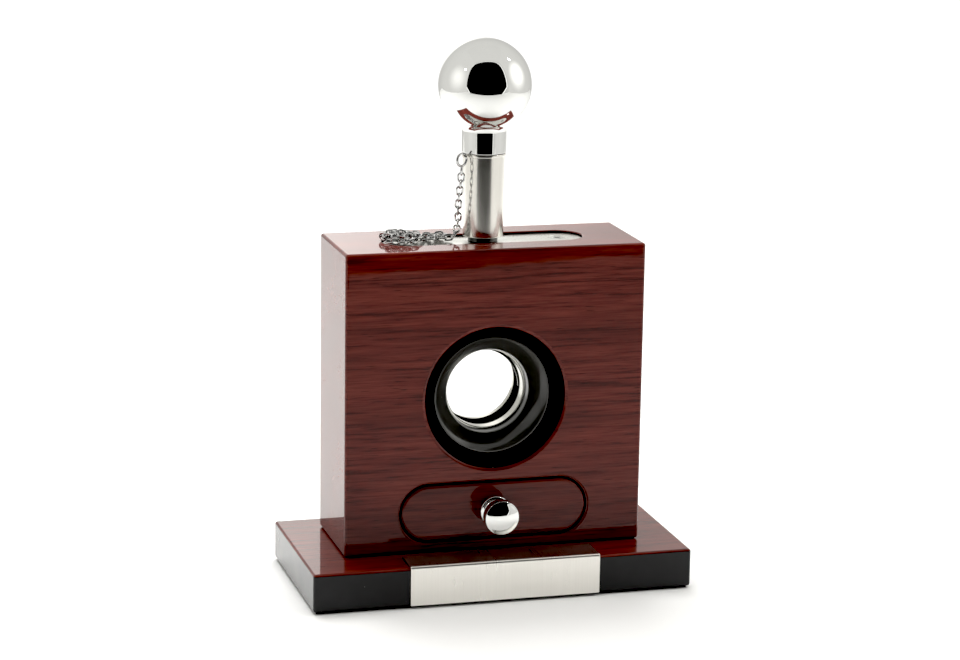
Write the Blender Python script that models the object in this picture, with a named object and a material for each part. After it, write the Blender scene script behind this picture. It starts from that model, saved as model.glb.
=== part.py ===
"""Tabletop guillotine cigar cutter: a lacquered tower on a plinth, a sprung plunger with a notched
blade, a black throat right through the tower, and a small drawer for the clippings.

Metres, +Z up. The origin is on the surface the plinth stands on, under the middle of its wood.
The front of the object faces -Y.
"""
import math

import bmesh
import bpy
from mathutils import Matrix, Vector

# ---- driving dimensions -------------------------------------------------------------------
TOWER_WIDTH = 0.100
TOWER_DEPTH = 0.0375
TOWER_HEIGHT = 0.100
BASE_WIDTH = 0.127
BASE_DEPTH = 0.0615
BASE_BOTTOM = 0.0007          # underside of the plinth's wood, above the baize pad
BASE_TOP = 0.0134
FRONT_LEDGE = 0.0150          # plinth showing in front of the tower
SEAT_GAP = 0.0002             # between pieces that rest on each other
STROKE = 0.0248               # how far the plunger goes down

TOWER_BOTTOM = BASE_TOP + SEAT_GAP
TOWER_TOP = TOWER_BOTTOM + TOWER_HEIGHT
BASE_FRONT = -BASE_DEPTH / 2
TOWER_FRONT = BASE_FRONT + FRONT_LEDGE
TOWER_BACK = TOWER_FRONT + TOWER_DEPTH
AXIS_Y = TOWER_FRONT + TOWER_DEPTH / 2     # the plunger's axis and the blade's mid plane

# throat: a hole right through the tower for the cigar
HOLE_Z = TOWER_BOTTOM + 0.0507
HOLE_R = 0.0130
MOUTH_R = 0.0240
BORE_R = 0.01995
BEZEL_R = 0.0197
LIP_R = 0.0136
BEZEL_SET_BACK = 0.0044       # rim of the bezel behind the tower's face
FRONT_LIP_DEPTH = 0.0122
REAR_LIP_DEPTH = 0.0102

# blade cassette, a steel sandwich let into a slot from above
PLATE_T = 0.0016
BLADE_T = 0.0020
BLADE_GAP = 0.0034            # between the two guard plates
PLATE_HALF_W = 0.0217
BLADE_HALF_W = 0.0181
NOTCH_Z = HOLE_Z - 0.0013     # the notch hangs a little into the hole at rest
CASSETTE_LOW = NOTCH_Z - STROKE - 0.0007
CASSETTE_HIGH = HOLE_Z + 0.0150
SLOT_HALF_W = 0.0220
SLOT_HALF_D = 0.0036
SLOT_LOW = CASSETTE_LOW - 0.0003

# top pocket and plate
POCKET_HALF_L = 0.0337
POCKET_HALF_W = 0.0083
POCKET_DEPTH = 0.0032
PLATE_SINK = 0.0008
TOP_PLATE_TOP = TOWER_TOP - PLATE_SINK
TOP_PLATE_LOW = TOWER_TOP - POCKET_DEPTH + 0.0001
TOP_SCREW_X = POCKET_HALF_L - POCKET_HALF_W

# plunger
ROD_R = 0.0025
TUBE_R = 0.0067
TUBE_BORE_R = 0.0057
TUBE_LOW = TOWER_TOP + 0.0010
SPRING_SEAT = TOWER_TOP + 0.0055
TUBE_HIGH = TOWER_TOP + 0.0281
FERRULE_R = 0.0072
FERRULE_LOW = TOWER_TOP + 0.02845
KNOB_BORE_R = 0.00682
KNOB_BORE_TOP = TOWER_TOP + 0.0556
BALL_R = 0.01515
BALL_Z = TOWER_TOP + 0.0504
NECK_R = 0.0049

# chain
CHAIN_R = 0.0012
EAR_ANGLE = math.radians(62.0)              # from -Y towards -X, round the plunger's axis
EAR_REACH = 0.0081
RING_R = 0.0020
RING_WIRE_R = 0.0003
RING_TILT = math.radians(30.0)              # the ring's middle hangs this far below the ear's
RING_REACH = EAR_REACH + RING_R * math.cos(RING_TILT)
COLLAR_MID = FERRULE_LOW - 0.00065
RING_Z = COLLAR_MID - RING_R * math.sin(RING_TILT)

# drawer
DRAWER_Z = TOWER_BOTTOM + 0.0131
DRAWER_HALF_L = 0.0318
DRAWER_HALF_H = 0.00995
DRAWER_GAP = 0.0007
DRAWER_CAVITY = 0.0335
DRAWER_FRONT_T = 0.0050
TRAY_HALF_W = 0.0215
TRAY_LOW = DRAWER_Z - 0.0090
TRAY_HIGH = DRAWER_Z + 0.0071
TRAY_LENGTH = 0.0264
TRAY_WALL = 0.0020

# corner plate on the plinth
CORNER_HALF_W = 0.03175
CORNER_T = 0.0007
CORNER_LOW = 0.0010
CORNER_FLANGE = 0.0113

ROUND = 32                    # segments round a large turned piece
SMALL = 14                    # segments round a screw or pin


# ---- helpers --------------------------------------------------------------------------------
def clear_scene():
    for item in list(bpy.data.objects):
        bpy.data.objects.remove(item, do_unlink=True)


def finish_material(name, colour, roughness, metallic=0.0):
    material = bpy.data.materials.get(name)
    if material is None:
        material = bpy.data.materials.new(name)
        material.use_nodes = True
        shader = material.node_tree.nodes["Principled BSDF"]
        shader.inputs["Base Color"].default_value = (*colour, 1.0)
        shader.inputs["Roughness"].default_value = roughness
        shader.inputs["Metallic"].default_value = metallic
    return material


def add_object(name, mesh, material, smooth=True):
    piece = bpy.data.objects.new(name, mesh)
    bpy.context.collection.objects.link(piece)
    piece.data.materials.append(material)
    if smooth:
        mesh.shade_smooth()
        mesh.set_sharp_from_angle(angle=math.radians(35.0))
    return piece


def mesh_from(bm, name):
    bmesh.ops.recalc_face_normals(bm, faces=bm.faces)
    mesh = bpy.data.meshes.new(name)
    bm.to_mesh(mesh)
    bm.free()
    return mesh


def block_mesh(name, low, high, bevel=0.0, segments=2):
    """A box between two corners, its edges rounded."""
    bm = bmesh.new()
    bmesh.ops.create_cube(bm, size=1.0)
    size = Vector(high) - Vector(low)
    middle = (Vector(high) + Vector(low)) / 2
    bmesh.ops.transform(bm, matrix=Matrix.Translation(middle) @ Matrix.Diagonal((*size, 1.0)), verts=bm.verts)
    if bevel > 0.0:
        bmesh.ops.bevel(bm, geom=bm.edges[:], offset=bevel, segments=segments, profile=0.5, affect="EDGES")
    return mesh_from(bm, name)


def turned_mesh(name, outline, segments=ROUND, axis="Z", centre=(0.0, 0.0, 0.0)):
    """Revolve a closed outline of (radius, height) points. Along Y, height is depth behind centre."""
    bm = bmesh.new()
    rings = []
    for radius, height in outline:
        if radius < 1e-7:
            rings.append([bm.verts.new((0.0, 0.0, height))])
            continue
        turn = [2 * math.pi * k / segments for k in range(segments)]
        rings.append([bm.verts.new((radius * math.cos(a), radius * math.sin(a), height)) for a in turn])
    pairs = list(zip(rings, rings[1:] + rings[:1]))
    for first, second in pairs:
        if len(first) == 1 and len(second) == 1:
            continue
        for k in range(segments):
            n = (k + 1) % segments
            corners = [first[k % len(first)], first[n % len(first)],
                       second[n % len(second)], second[k % len(second)]]
            corners = list(dict.fromkeys(corners))
            bm.faces.new(corners)
    place = Matrix.Translation(Vector(centre))
    if axis == "Y":
        place = place @ Matrix.Rotation(math.radians(-90.0), 4, "X")
    bmesh.ops.transform(bm, matrix=place, verts=bm.verts)
    return mesh_from(bm, name)


def rod_outline(radius, low, high, chamfer=0.0):
    """A plain round bar's outline, with its two end edges chamfered."""
    if chamfer <= 0.0:
        return [(0.0, low), (radius, low), (radius, high), (0.0, high)]
    return [(0.0, low), (radius - chamfer, low), (radius, low + chamfer),
            (radius, high - chamfer), (radius - chamfer, high), (0.0, high)]


def ring_outline(inner, outer, low, high):
    return [(inner, low), (outer, low), (outer, high), (inner, high)]


def stadium_points(half_length, half_width, arc_steps=8):
    """Corners of a slot shape: two straight sides joined by half circles."""
    straight = half_length - half_width
    points = []
    for side, start in ((1, -90.0), (-1, 90.0)):
        for k in range(arc_steps + 1):
            angle = math.radians(start + 180.0 * k / arc_steps)
            points.append((side * straight + half_width * math.cos(angle), half_width * math.sin(angle)))
    return points


def stadium_mesh(name, half_length, half_width, low, high, axis="Z", centre=(0.0, 0.0, 0.0), bevel=0.0):
    """A slot-shaped slab from low to high along Z, or along Y with its width upright."""
    bm = bmesh.new()
    bottom = [bm.verts.new((x, y, low)) for x, y in stadium_points(half_length, half_width)]
    face = bm.faces.new(bottom)
    grown = bmesh.ops.extrude_face_region(bm, geom=[face])
    top = [item for item in grown["geom"] if isinstance(item, bmesh.types.BMVert)]
    bmesh.ops.translate(bm, vec=(0.0, 0.0, high - low), verts=top)
    if bevel > 0.0:
        rims = [edge for edge in bm.edges if abs(edge.verts[0].co.z - edge.verts[1].co.z) < 1e-7]
        bmesh.ops.bevel(bm, geom=rims, offset=bevel, segments=2, profile=0.5, affect="EDGES")
    place = Matrix.Translation(Vector(centre))
    if axis == "Y":
        place = place @ Matrix.Rotation(math.radians(-90.0), 4, "X")
    bmesh.ops.transform(bm, matrix=place, verts=bm.verts)
    return mesh_from(bm, name)


def combine(piece, tools, operation="DIFFERENCE"):
    """Cut or join with each tool mesh in turn, and keep the result as the piece's own mesh."""
    for number, tool in enumerate(tools):
        cutter = bpy.data.objects.new(f"{piece.name}_tool_{number}", tool)
        bpy.context.collection.objects.link(cutter)
        cutter.hide_render = True
        cutter.display_type = "WIRE"
        step = piece.modifiers.new("shape", "BOOLEAN")
        step.operation = operation
        step.solver = "EXACT"
        step.object = cutter
        bpy.context.view_layer.update()
        graph = bpy.context.evaluated_depsgraph_get()
        shaped = bpy.data.meshes.new_from_object(piece.evaluated_get(graph))
        piece.modifiers.remove(step)
        old = piece.data
        piece.data = shaped
        bpy.data.meshes.remove(old)
        bpy.data.objects.remove(cutter, do_unlink=True)
    piece.data.shade_smooth()
    piece.data.set_sharp_from_angle(angle=math.radians(35.0))
    return piece


def mesh_name(name, number):
    return f"{name}_shape_{number}"


def set_origin(piece, point):
    """Move a piece's origin to a point and leave its shape where it is."""
    piece.data.transform(Matrix.Translation(-Vector(point)))
    piece.location = point


def ear_point(reach, height):
    return Vector((-math.sin(EAR_ANGLE) * reach, AXIS_Y - math.cos(EAR_ANGLE) * reach, height))


# ---- materials ------------------------------------------------------------------------------
clear_scene()
MAHOGANY = finish_material("mahogany", (0.16, 0.030, 0.018), 0.12)
BLACK_LACQUER = finish_material("black_lacquer", (0.012, 0.012, 0.013), 0.12)
BLACK_PLASTIC = finish_material("black_plastic", (0.010, 0.010, 0.011), 0.10)
BAIZE = finish_material("baize", (0.015, 0.015, 0.016), 0.95)
BRUSHED_STEEL = finish_material("brushed_steel", (0.62, 0.60, 0.57), 0.30, 1.0)
BLADE_STEEL = finish_material("blade_steel", (0.66, 0.66, 0.64), 0.18, 1.0)
CHROME = finish_material("chrome", (0.85, 0.85, 0.86), 0.03, 1.0)
SATIN_NICKEL = finish_material("satin_nickel", (0.72, 0.68, 0.62), 0.22, 1.0)
CHAIN_STEEL = finish_material("chain_steel", (0.60, 0.60, 0.60), 0.20, 1.0)
SCREW_ZINC = finish_material("screw_zinc", (0.62, 0.62, 0.60), 0.30, 1.0)
SPRING_STEEL = finish_material("spring_steel", (0.42, 0.42, 0.43), 0.35, 1.0)


# ---- plinth -----------------------------------------------------------------------------------
BASE_SCREW_X = 0.0410
BASE_SCREW_R = 0.0019
BASE_HEAD_R = 0.0039
BASE_BORE_DEPTH = 0.0036


def build_plinth():
    low = (-BASE_WIDTH / 2, BASE_FRONT, BASE_BOTTOM)
    high = (BASE_WIDTH / 2, -BASE_FRONT, BASE_TOP)
    plinth = add_object("base_plinth", block_mesh("base_plinth", low, high, 0.0008), BLACK_LACQUER)
    cuts = []
    seat = BASE_BOTTOM + BASE_BORE_DEPTH
    wide = BASE_HEAD_R + 0.0004
    narrow = BASE_SCREW_R + 0.0003
    for side in (-1, 1):
        centre = (side * BASE_SCREW_X, AXIS_Y, 0.0)
        shaft = [(0.0, -0.001), (wide, -0.001), (wide, seat), (narrow, seat), (narrow, 0.020), (0.0, 0.020)]
        cuts.append(turned_mesh(mesh_name("plinth_bore", side), shaft, SMALL, "Z", centre))
    combine(plinth, cuts)

    inset = 0.0010
    pad_low = (-BASE_WIDTH / 2 + inset, BASE_FRONT + inset, 0.0)
    pad_high = (BASE_WIDTH / 2 - inset, -BASE_FRONT - inset, BASE_BOTTOM - SEAT_GAP)
    add_object("base_pad", block_mesh("base_pad", pad_low, pad_high), BAIZE, smooth=False)

    for side, word in ((-1, "left"), (1, "right")):
        head_low = BASE_BOTTOM + 0.0006
        outline = [(0.0, head_low), (BASE_HEAD_R, head_low), (BASE_HEAD_R, head_low + 0.0026),
                   (BASE_SCREW_R, head_low + 0.0028), (BASE_SCREW_R, 0.0260), (0.0, 0.0280)]
        centre = (side * BASE_SCREW_X, AXIS_Y, 0.0)
        name = f"base_screw_{word}"
        screw = add_object(name, turned_mesh(name, outline, SMALL, "Z", centre), SCREW_ZINC)
        recess = stadium_mesh(mesh_name(name, 0), 0.0022, 0.0005, head_low - 0.001, head_low + 0.0012,
                              "Z", centre)
        combine(screw, [recess])


def build_corner_plate():
    """Brushed strip folded over the plinth's front edge, its fold rounded."""
    outer_y = BASE_FRONT - SEAT_GAP - CORNER_T
    outer_z = BASE_TOP + 0.00015 + CORNER_T
    inner_y = outer_y + CORNER_T
    inner_z = outer_z - CORNER_T
    fold = 0.0009
    section = [(outer_y, CORNER_LOW)]
    for k in range(5):
        angle = math.radians(180.0 - 22.5 * k)
        section.append((outer_y + fold + fold * math.cos(angle), outer_z - fold + fold * math.sin(angle)))
    back = BASE_FRONT + CORNER_FLANGE
    section += [(back, outer_z), (back, inner_z), (inner_y, inner_z), (inner_y, CORNER_LOW)]
    bm = bmesh.new()
    face = bm.faces.new([bm.verts.new((-CORNER_HALF_W, y, z)) for y, z in section])
    grown = bmesh.ops.extrude_face_region(bm, geom=[face])
    moved = [item for item in grown["geom"] if isinstance(item, bmesh.types.BMVert)]
    bmesh.ops.translate(bm, vec=(2 * CORNER_HALF_W, 0.0, 0.0), verts=moved)
    add_object("corner_plate", mesh_from(bm, "corner_plate"), BRUSHED_STEEL)


# ---- tower ------------------------------------------------------------------------------------
def build_tower():
    low = (-TOWER_WIDTH / 2, TOWER_FRONT, TOWER_BOTTOM)
    high = (TOWER_WIDTH / 2, TOWER_BACK, TOWER_TOP)
    tower = add_object("tower_block", block_mesh("tower_block", low, high, 0.0010), MAHOGANY)
    over = 0.0005
    chamfer = MOUTH_R - BORE_R
    throat = [(0.0, -over), (MOUTH_R + over, -over), (BORE_R, chamfer), (BORE_R, TOWER_DEPTH - chamfer),
              (MOUTH_R + over, TOWER_DEPTH + over), (0.0, TOWER_DEPTH + over)]
    cuts = [turned_mesh("throat", throat, ROUND, "Y", (0.0, TOWER_FRONT, HOLE_Z))]
    pocket_low = TOWER_TOP - POCKET_DEPTH
    middle = (0.0, AXIS_Y, 0.0)
    cuts.append(stadium_mesh("pocket", POCKET_HALF_L, POCKET_HALF_W, pocket_low, TOWER_TOP + 0.002,
                             "Z", middle))
    cuts.append(block_mesh("slot", (-SLOT_HALF_W, AXIS_Y - SLOT_HALF_D, SLOT_LOW),
                           (SLOT_HALF_W, AXIS_Y + SLOT_HALF_D, TOWER_TOP + 0.001)))
    cuts.append(stadium_mesh("drawer_cavity", DRAWER_HALF_L, DRAWER_HALF_H, -0.002, DRAWER_CAVITY,
                             "Y", (0.0, TOWER_FRONT, DRAWER_Z)))
    for side in (-1, 1):
        pilot = rod_outline(0.0015, pocket_low - 0.0120, pocket_low + 0.001)
        spot = (side * TOP_SCREW_X, AXIS_Y, 0.0)
        cuts.append(turned_mesh(mesh_name("pilot", side), pilot, SMALL, "Z", spot))
        bore = rod_outline(BASE_SCREW_R + 0.0002, TOWER_BOTTOM - 0.001, 0.0290)
        spot = (side * BASE_SCREW_X, AXIS_Y, 0.0)
        cuts.append(turned_mesh(mesh_name("base_pilot", side), bore, SMALL, "Z", spot))
    combine(tower, cuts)


# ---- throat bezels ------------------------------------------------------------------------------
def bezel_outline(lip_depth, skirt_depth):
    """Rim, a dish that rounds over into the throat, and a skirt at the back."""
    rim = BEZEL_R - 0.0004
    steps = 4
    start, end = math.radians(30.0), math.radians(68.0)
    span_r = rim - LIP_R
    span_d = lip_depth - BEZEL_SET_BACK
    width = math.sin(end) - math.sin(start)
    depth = math.cos(start) - math.cos(end)
    points = [(BEZEL_R, BEZEL_SET_BACK + 0.0004), (BEZEL_R - 0.0002, BEZEL_SET_BACK + 0.0001)]
    for k in range(steps + 1):
        angle = start + (end - start) * k / steps
        radius = rim - span_r * (math.sin(angle) - math.sin(start)) / width
        points.append((radius, BEZEL_SET_BACK + span_d * (math.cos(start) - math.cos(angle)) / depth))
    back = lip_depth + 0.00075
    points += [(LIP_R, back), (0.0150, back), (0.0150, skirt_depth), (BEZEL_R, skirt_depth)]
    return points


def build_bezels():
    front_skirt = TOWER_DEPTH / 2 - SLOT_HALF_D - 0.0002
    outline = bezel_outline(FRONT_LIP_DEPTH, front_skirt)
    centre = (0.0, TOWER_FRONT, HOLE_Z)
    add_object("front_bezel", turned_mesh("front_bezel", outline, ROUND, "Y", centre), BLACK_PLASTIC)
    mirrored = [(r, TOWER_DEPTH - d) for r, d in bezel_outline(REAR_LIP_DEPTH, front_skirt)]
    add_object("rear_bezel", turned_mesh("rear_bezel", mirrored, ROUND, "Y", centre), BLACK_PLASTIC)


# ---- blade cassette -------------------------------------------------------------------------------
RIVET_R = 0.0008
RAIL_X = (BLADE_HALF_W + 0.0003 + PLATE_HALF_W) / 2
RIVETS = {"upper_left": (-RAIL_X, CASSETTE_HIGH - 0.004), "upper_right": (RAIL_X, CASSETTE_HIGH - 0.004),
          "lower_left": (-RAIL_X, CASSETTE_LOW + 0.004), "lower_right": (RAIL_X, CASSETTE_LOW + 0.004)}


def rivet_holes(tag):
    holes = []
    for word, (x, z) in RIVETS.items():
        outline = rod_outline(RIVET_R + 0.0001, -0.006, 0.006)
        holes.append(turned_mesh(f"{tag}_{word}", outline, 8, "Y", (x, AXIS_Y, z)))
    return holes


def build_guard(name, near, far, collar_end):
    """A steel guard plate with a round hole and a collar that reaches to the bezel."""
    low = (-PLATE_HALF_W, min(near, far), CASSETTE_LOW)
    high = (PLATE_HALF_W, max(near, far), CASSETTE_HIGH)
    plate = block_mesh(name, low, high)
    guard = add_object(name, plate, BRUSHED_STEEL)
    inside = (near + far) / 2
    collar = rod_outline(HOLE_R + 0.0016, min(inside, collar_end), max(inside, collar_end))
    centre = (0.0, 0.0, HOLE_Z)
    combine(guard, [turned_mesh(name + "_collar", collar, ROUND, "Y", centre)], "UNION")
    bore = rod_outline(HOLE_R, AXIS_Y - 0.02, AXIS_Y + 0.02)
    combine(guard, [turned_mesh(name + "_bore", bore, ROUND, "Y", centre)] + rivet_holes(name))


def build_cassette():
    face = AXIS_Y - BLADE_GAP / 2
    build_guard("front_guard", face, face - PLATE_T, TOWER_FRONT + FRONT_LIP_DEPTH + 0.0009)
    face = AXIS_Y + BLADE_GAP / 2
    build_guard("rear_guard", face, face + PLATE_T, TOWER_BACK - REAR_LIP_DEPTH - 0.0009)

    half = BLADE_GAP / 2 - 0.00005
    for side, word in ((-1, "left"), (1, "right")):
        x = sorted((side * (BLADE_HALF_W + 0.0003), side * PLATE_HALF_W))
        name = f"guide_rail_{word}"
        shape = block_mesh(name, (x[0], AXIS_Y - half, CASSETTE_LOW), (x[1], AXIS_Y + half, CASSETTE_HIGH))
        combine(add_object(name, shape, BRUSHED_STEEL), rivet_holes(name))

    reach = BLADE_GAP / 2 + PLATE_T
    for word, (x, z) in RIVETS.items():
        name = f"cassette_rivet_{word}"
        outline = rod_outline(RIVET_R, -reach, reach, 0.0002)
        add_object(name, turned_mesh(name, outline, 8, "Y", (x, AXIS_Y, z)), SCREW_ZINC)


# ---- top plate, guide tube and its bush -------------------------------------------------------------
ANCHOR_SPOT = (-0.0235, AXIS_Y + 0.0062)


def build_top_plate():
    middle = (0.0, AXIS_Y, 0.0)
    shape = stadium_mesh("top_plate", POCKET_HALF_L - 0.00025, POCKET_HALF_W - 0.00025,
                         TOP_PLATE_LOW, TOP_PLATE_TOP, "Z", middle)
    plate = add_object("top_plate", shape, BRUSHED_STEEL)
    below, above = TOP_PLATE_LOW - 0.001, TOP_PLATE_TOP + 0.001
    tools = [turned_mesh("bush_hole", rod_outline(0.00405, below, above), ROUND, "Z", middle)]
    sink = 0.0016
    flare = TOP_PLATE_TOP + 0.0005
    for side in (-1, 1):
        spot = (side * TOP_SCREW_X, AXIS_Y, 0.0)
        outline = [(0.0, below), (0.0017, below), (0.0017, TOP_PLATE_TOP - sink), (0.0034, flare),
                   (0.0, flare)]
        tools.append(turned_mesh(mesh_name("sink", side), outline, 20, "Z", spot))
    spot = (*ANCHOR_SPOT, 0.0)
    tools.append(turned_mesh("anchor_hole", rod_outline(0.0007, below, above), 12, "Z", spot))
    combine(plate, tools)

    for side, word in ((-1, "left"), (1, "right")):
        name = f"top_screw_{word}"
        head = TOP_PLATE_TOP - 0.0001
        outline = [(0.0, head - 0.0120), (0.00135, head - 0.0105), (0.00135, head - sink + 0.0001),
                   (0.0027, head - 0.0001), (0.0026, head), (0.0, head)]
        centre = (side * TOP_SCREW_X, AXIS_Y, 0.0)
        screw = add_object(name, turned_mesh(name, outline, 16, "Z", centre), SCREW_ZINC)
        slots = []
        for number, (half_x, half_y) in enumerate(((0.0015, 0.00025), (0.00025, 0.0015))):
            low = (centre[0] - half_x, AXIS_Y - half_y, head - 0.0009)
            high = (centre[0] + half_x, AXIS_Y + half_y, head + 0.001)
            slots.append(block_mesh(mesh_name(name, number), low, high))
        combine(screw, slots)


def build_guide():
    bush = [(ROD_R + 0.0001, TOP_PLATE_LOW), (0.0039, TOP_PLATE_LOW), (0.0039, TOP_PLATE_TOP + 0.00025),
            (NECK_R, TOP_PLATE_TOP + 0.00025), (NECK_R, TUBE_LOW), (TUBE_BORE_R - 0.00015, TUBE_LOW + 0.0001),
            (TUBE_BORE_R - 0.00015, SPRING_SEAT), (ROD_R + 0.0001, SPRING_SEAT)]
    centre = (0.0, AXIS_Y, 0.0)
    add_object("guide_bush", turned_mesh("guide_bush", bush, 20, "Z", centre), BLACK_PLASTIC)
    tube = ring_outline(TUBE_BORE_R, TUBE_R, TUBE_LOW, TUBE_HIGH)
    add_object("guide_tube", turned_mesh("guide_tube", tube, ROUND, "Z", centre), SATIN_NICKEL)


SPRING_WIRE_R = 0.00045
SPRING_R = 0.0041
SPRING_TURNS = 9


def build_spring():
    """The coil round the rod, from the bush up to the roof of the knob's bore."""
    low = SPRING_SEAT + SPRING_WIRE_R + 0.0001
    high = KNOB_BORE_TOP - SPRING_WIRE_R - 0.0002
    steps = SPRING_TURNS * 10
    curve = bpy.data.curves.new("return_spring", "CURVE")
    curve.dimensions = "3D"
    curve.bevel_depth = SPRING_WIRE_R
    curve.bevel_resolution = 0
    curve.use_fill_caps = True
    path = curve.splines.new("POLY")
    path.points.add(steps)
    for k in range(steps + 1):
        angle = 2 * math.pi * SPRING_TURNS * k / steps
        height = low + (high - low) * k / steps
        path.points[k].co = (SPRING_R * math.cos(angle), SPRING_R * math.sin(angle) + AXIS_Y, height, 1.0)
    spring = bpy.data.objects.new("return_spring", curve)
    bpy.context.collection.objects.link(spring)
    curve.materials.append(SPRING_STEEL)


# ---- plunger ----------------------------------------------------------------------------------
def build_knob():
    """Ball and ferrule turned in one piece, joined by a hollow curve, and bored from below."""
    fillet = 0.0030
    join_r = FERRULE_R + fillet
    rise = math.sqrt((BALL_R + fillet) ** 2 - join_r ** 2)
    fillet_z = BALL_Z - rise
    outline = [(KNOB_BORE_R, FERRULE_LOW), (FERRULE_R - 0.00015, FERRULE_LOW),
               (FERRULE_R, FERRULE_LOW + 0.00015)]
    contact = math.atan2(rise, join_r)
    for k in range(5):
        angle = math.pi - contact * k / 4
        outline.append((join_r + fillet * math.cos(angle), fillet_z + fillet * math.sin(angle)))
    start = -contact
    rings = 10
    for k in range(1, rings):
        angle = start + (math.pi / 2 - start) * k / rings
        outline.append((BALL_R * math.cos(angle), BALL_Z + BALL_R * math.sin(angle)))
    outline += [(0.0, BALL_Z + BALL_R), (0.0, KNOB_BORE_TOP + 0.0040), (0.00165, KNOB_BORE_TOP + 0.0040),
                (0.00165, KNOB_BORE_TOP), (KNOB_BORE_R, KNOB_BORE_TOP)]
    knob = add_object("ball_knob", turned_mesh("ball_knob", outline, ROUND, "Z", (0.0, AXIS_Y, 0.0)), CHROME)
    set_origin(knob, (0.0, AXIS_Y, FERRULE_LOW))


HOLDER_LOW = CASSETTE_HIGH + STROKE + 0.0004
HOLDER_HIGH = TOWER_TOP - POCKET_DEPTH - 0.0004
BLADE_TOP = HOLDER_LOW + 0.0015
PIN_Z = HOLDER_LOW + 0.00075
PIN_X = 0.004


def build_rod():
    outline = [(0.0, HOLDER_HIGH - 0.0014), (0.0014, HOLDER_HIGH - 0.0014), (0.0014, HOLDER_HIGH + 0.0002),
               (ROD_R, HOLDER_HIGH + 0.0002), (ROD_R, KNOB_BORE_TOP - 0.0002),
               (0.0015, KNOB_BORE_TOP - 0.0002), (0.0015, KNOB_BORE_TOP + 0.0035), (0.0, KNOB_BORE_TOP + 0.0035)]
    rod = add_object("push_rod", turned_mesh("push_rod", outline, 16, "Z", (0.0, AXIS_Y, 0.0)), BLADE_STEEL)
    set_origin(rod, (0.0, AXIS_Y, HOLDER_HIGH))


def build_blade():
    half = BLADE_T / 2
    low = (-BLADE_HALF_W, AXIS_Y - half, NOTCH_Z)
    high = (BLADE_HALF_W, AXIS_Y + half, BLADE_TOP)
    blade = add_object("blade", block_mesh("blade", low, high), BLADE_STEEL)
    edge_r = HOLE_R + 0.0001
    bevel_r = edge_r + 0.0016
    notch = [(0.0, -half - 0.001), (bevel_r, -half - 0.001), (bevel_r, -half), (edge_r, half - 0.0003),
             (edge_r, half + 0.001), (0.0, half + 0.001)]
    tools = [turned_mesh("notch", notch, ROUND, "Y", (0.0, AXIS_Y, NOTCH_Z))]
    for side in (-1, 1):
        outline = rod_outline(0.0005, -0.006, 0.006)
        spot = (side * PIN_X, AXIS_Y, PIN_Z)
        tools.append(turned_mesh(mesh_name("blade_pin_hole", side), outline, 12, "Y", spot))
    combine(blade, tools)
    set_origin(blade, (0.0, AXIS_Y, NOTCH_Z))

    deep = 0.0032
    wide = 0.0065
    low = (-wide, AXIS_Y - deep, HOLDER_LOW)
    high = (wide, AXIS_Y + deep, HOLDER_HIGH)
    holder = add_object("blade_holder", block_mesh("blade_holder", low, high, 0.0002, 1), BRUSHED_STEEL)
    tools = [block_mesh("holder_slot", (-0.008, AXIS_Y - half - 0.00015, HOLDER_LOW - 0.001),
                        (0.008, AXIS_Y + half + 0.00015, BLADE_TOP + 0.0002))]
    tools.append(turned_mesh("holder_tap", rod_outline(0.0016, HOLDER_HIGH - 0.0016, HOLDER_HIGH + 0.001),
                             16, "Z", (0.0, AXIS_Y, 0.0)))
    for side in (-1, 1):
        outline = rod_outline(0.0005, -0.006, 0.006)
        spot = (side * PIN_X, AXIS_Y, PIN_Z)
        tools.append(turned_mesh(mesh_name("holder_pin_hole", side), outline, 12, "Y", spot))
    combine(holder, tools)
    set_origin(holder, (0.0, AXIS_Y, HOLDER_LOW))

    for side, word in ((-1, "left"), (1, "right")):
        name = f"blade_pin_{word}"
        outline = rod_outline(0.0004, -deep, deep)
        spot = (side * PIN_X, AXIS_Y, PIN_Z)
        pin = add_object(name, turned_mesh(name, outline, 12, "Y", spot), SCREW_ZINC)
        set_origin(pin, spot)


def build_collar():
    """A thin ring under the ferrule with an ear that takes the chain's first ring."""
    low, high = COLLAR_MID - 0.00045, COLLAR_MID + 0.00045
    outline = ring_outline(KNOB_BORE_R, FERRULE_R - 0.0001, low, high)
    ring = turned_mesh("chain_collar", outline, ROUND, "Z", (0.0, AXIS_Y, 0.0))
    collar = add_object("chain_collar", ring, SATIN_NICKEL)
    ear = ear_point(EAR_REACH, 0.0)
    step = 0.0001
    combine(collar, [turned_mesh("ear", rod_outline(0.0012, low + step, high - step), 20, "Z", ear)], "UNION")
    combine(collar, [turned_mesh("ear_hole", rod_outline(0.00068, low - 0.001, high + 0.001), 16, "Z", ear)])
    set_origin(collar, (0.0, AXIS_Y, low))


# ---- chain --------------------------------------------------------------------------------------
PILE_LOW = TOP_PLATE_TOP + 0.00015
PILE_HEIGHT = 0.0038
PILE_RIGHT = -0.0196
PILE_LEFT = -0.0333
PILE_HALF_W = 0.0052


def build_ring():
    """The jump ring, upright and radial, threaded through the collar's ear."""
    section = []
    for k in range(6):
        angle = 2 * math.pi * k / 6
        section.append((RING_R + RING_WIRE_R * math.cos(angle), RING_WIRE_R * math.sin(angle)))
    mesh = turned_mesh("jump_ring", section, 16)
    tangent = Vector((-math.cos(EAR_ANGLE), math.sin(EAR_ANGLE), 0.0))
    mesh.transform(tangent.to_track_quat("Z", "Y").to_matrix().to_4x4())
    ring = add_object("jump_ring", mesh, CHAIN_STEEL)
    ring.location = ear_point(RING_REACH, RING_Z)


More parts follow.
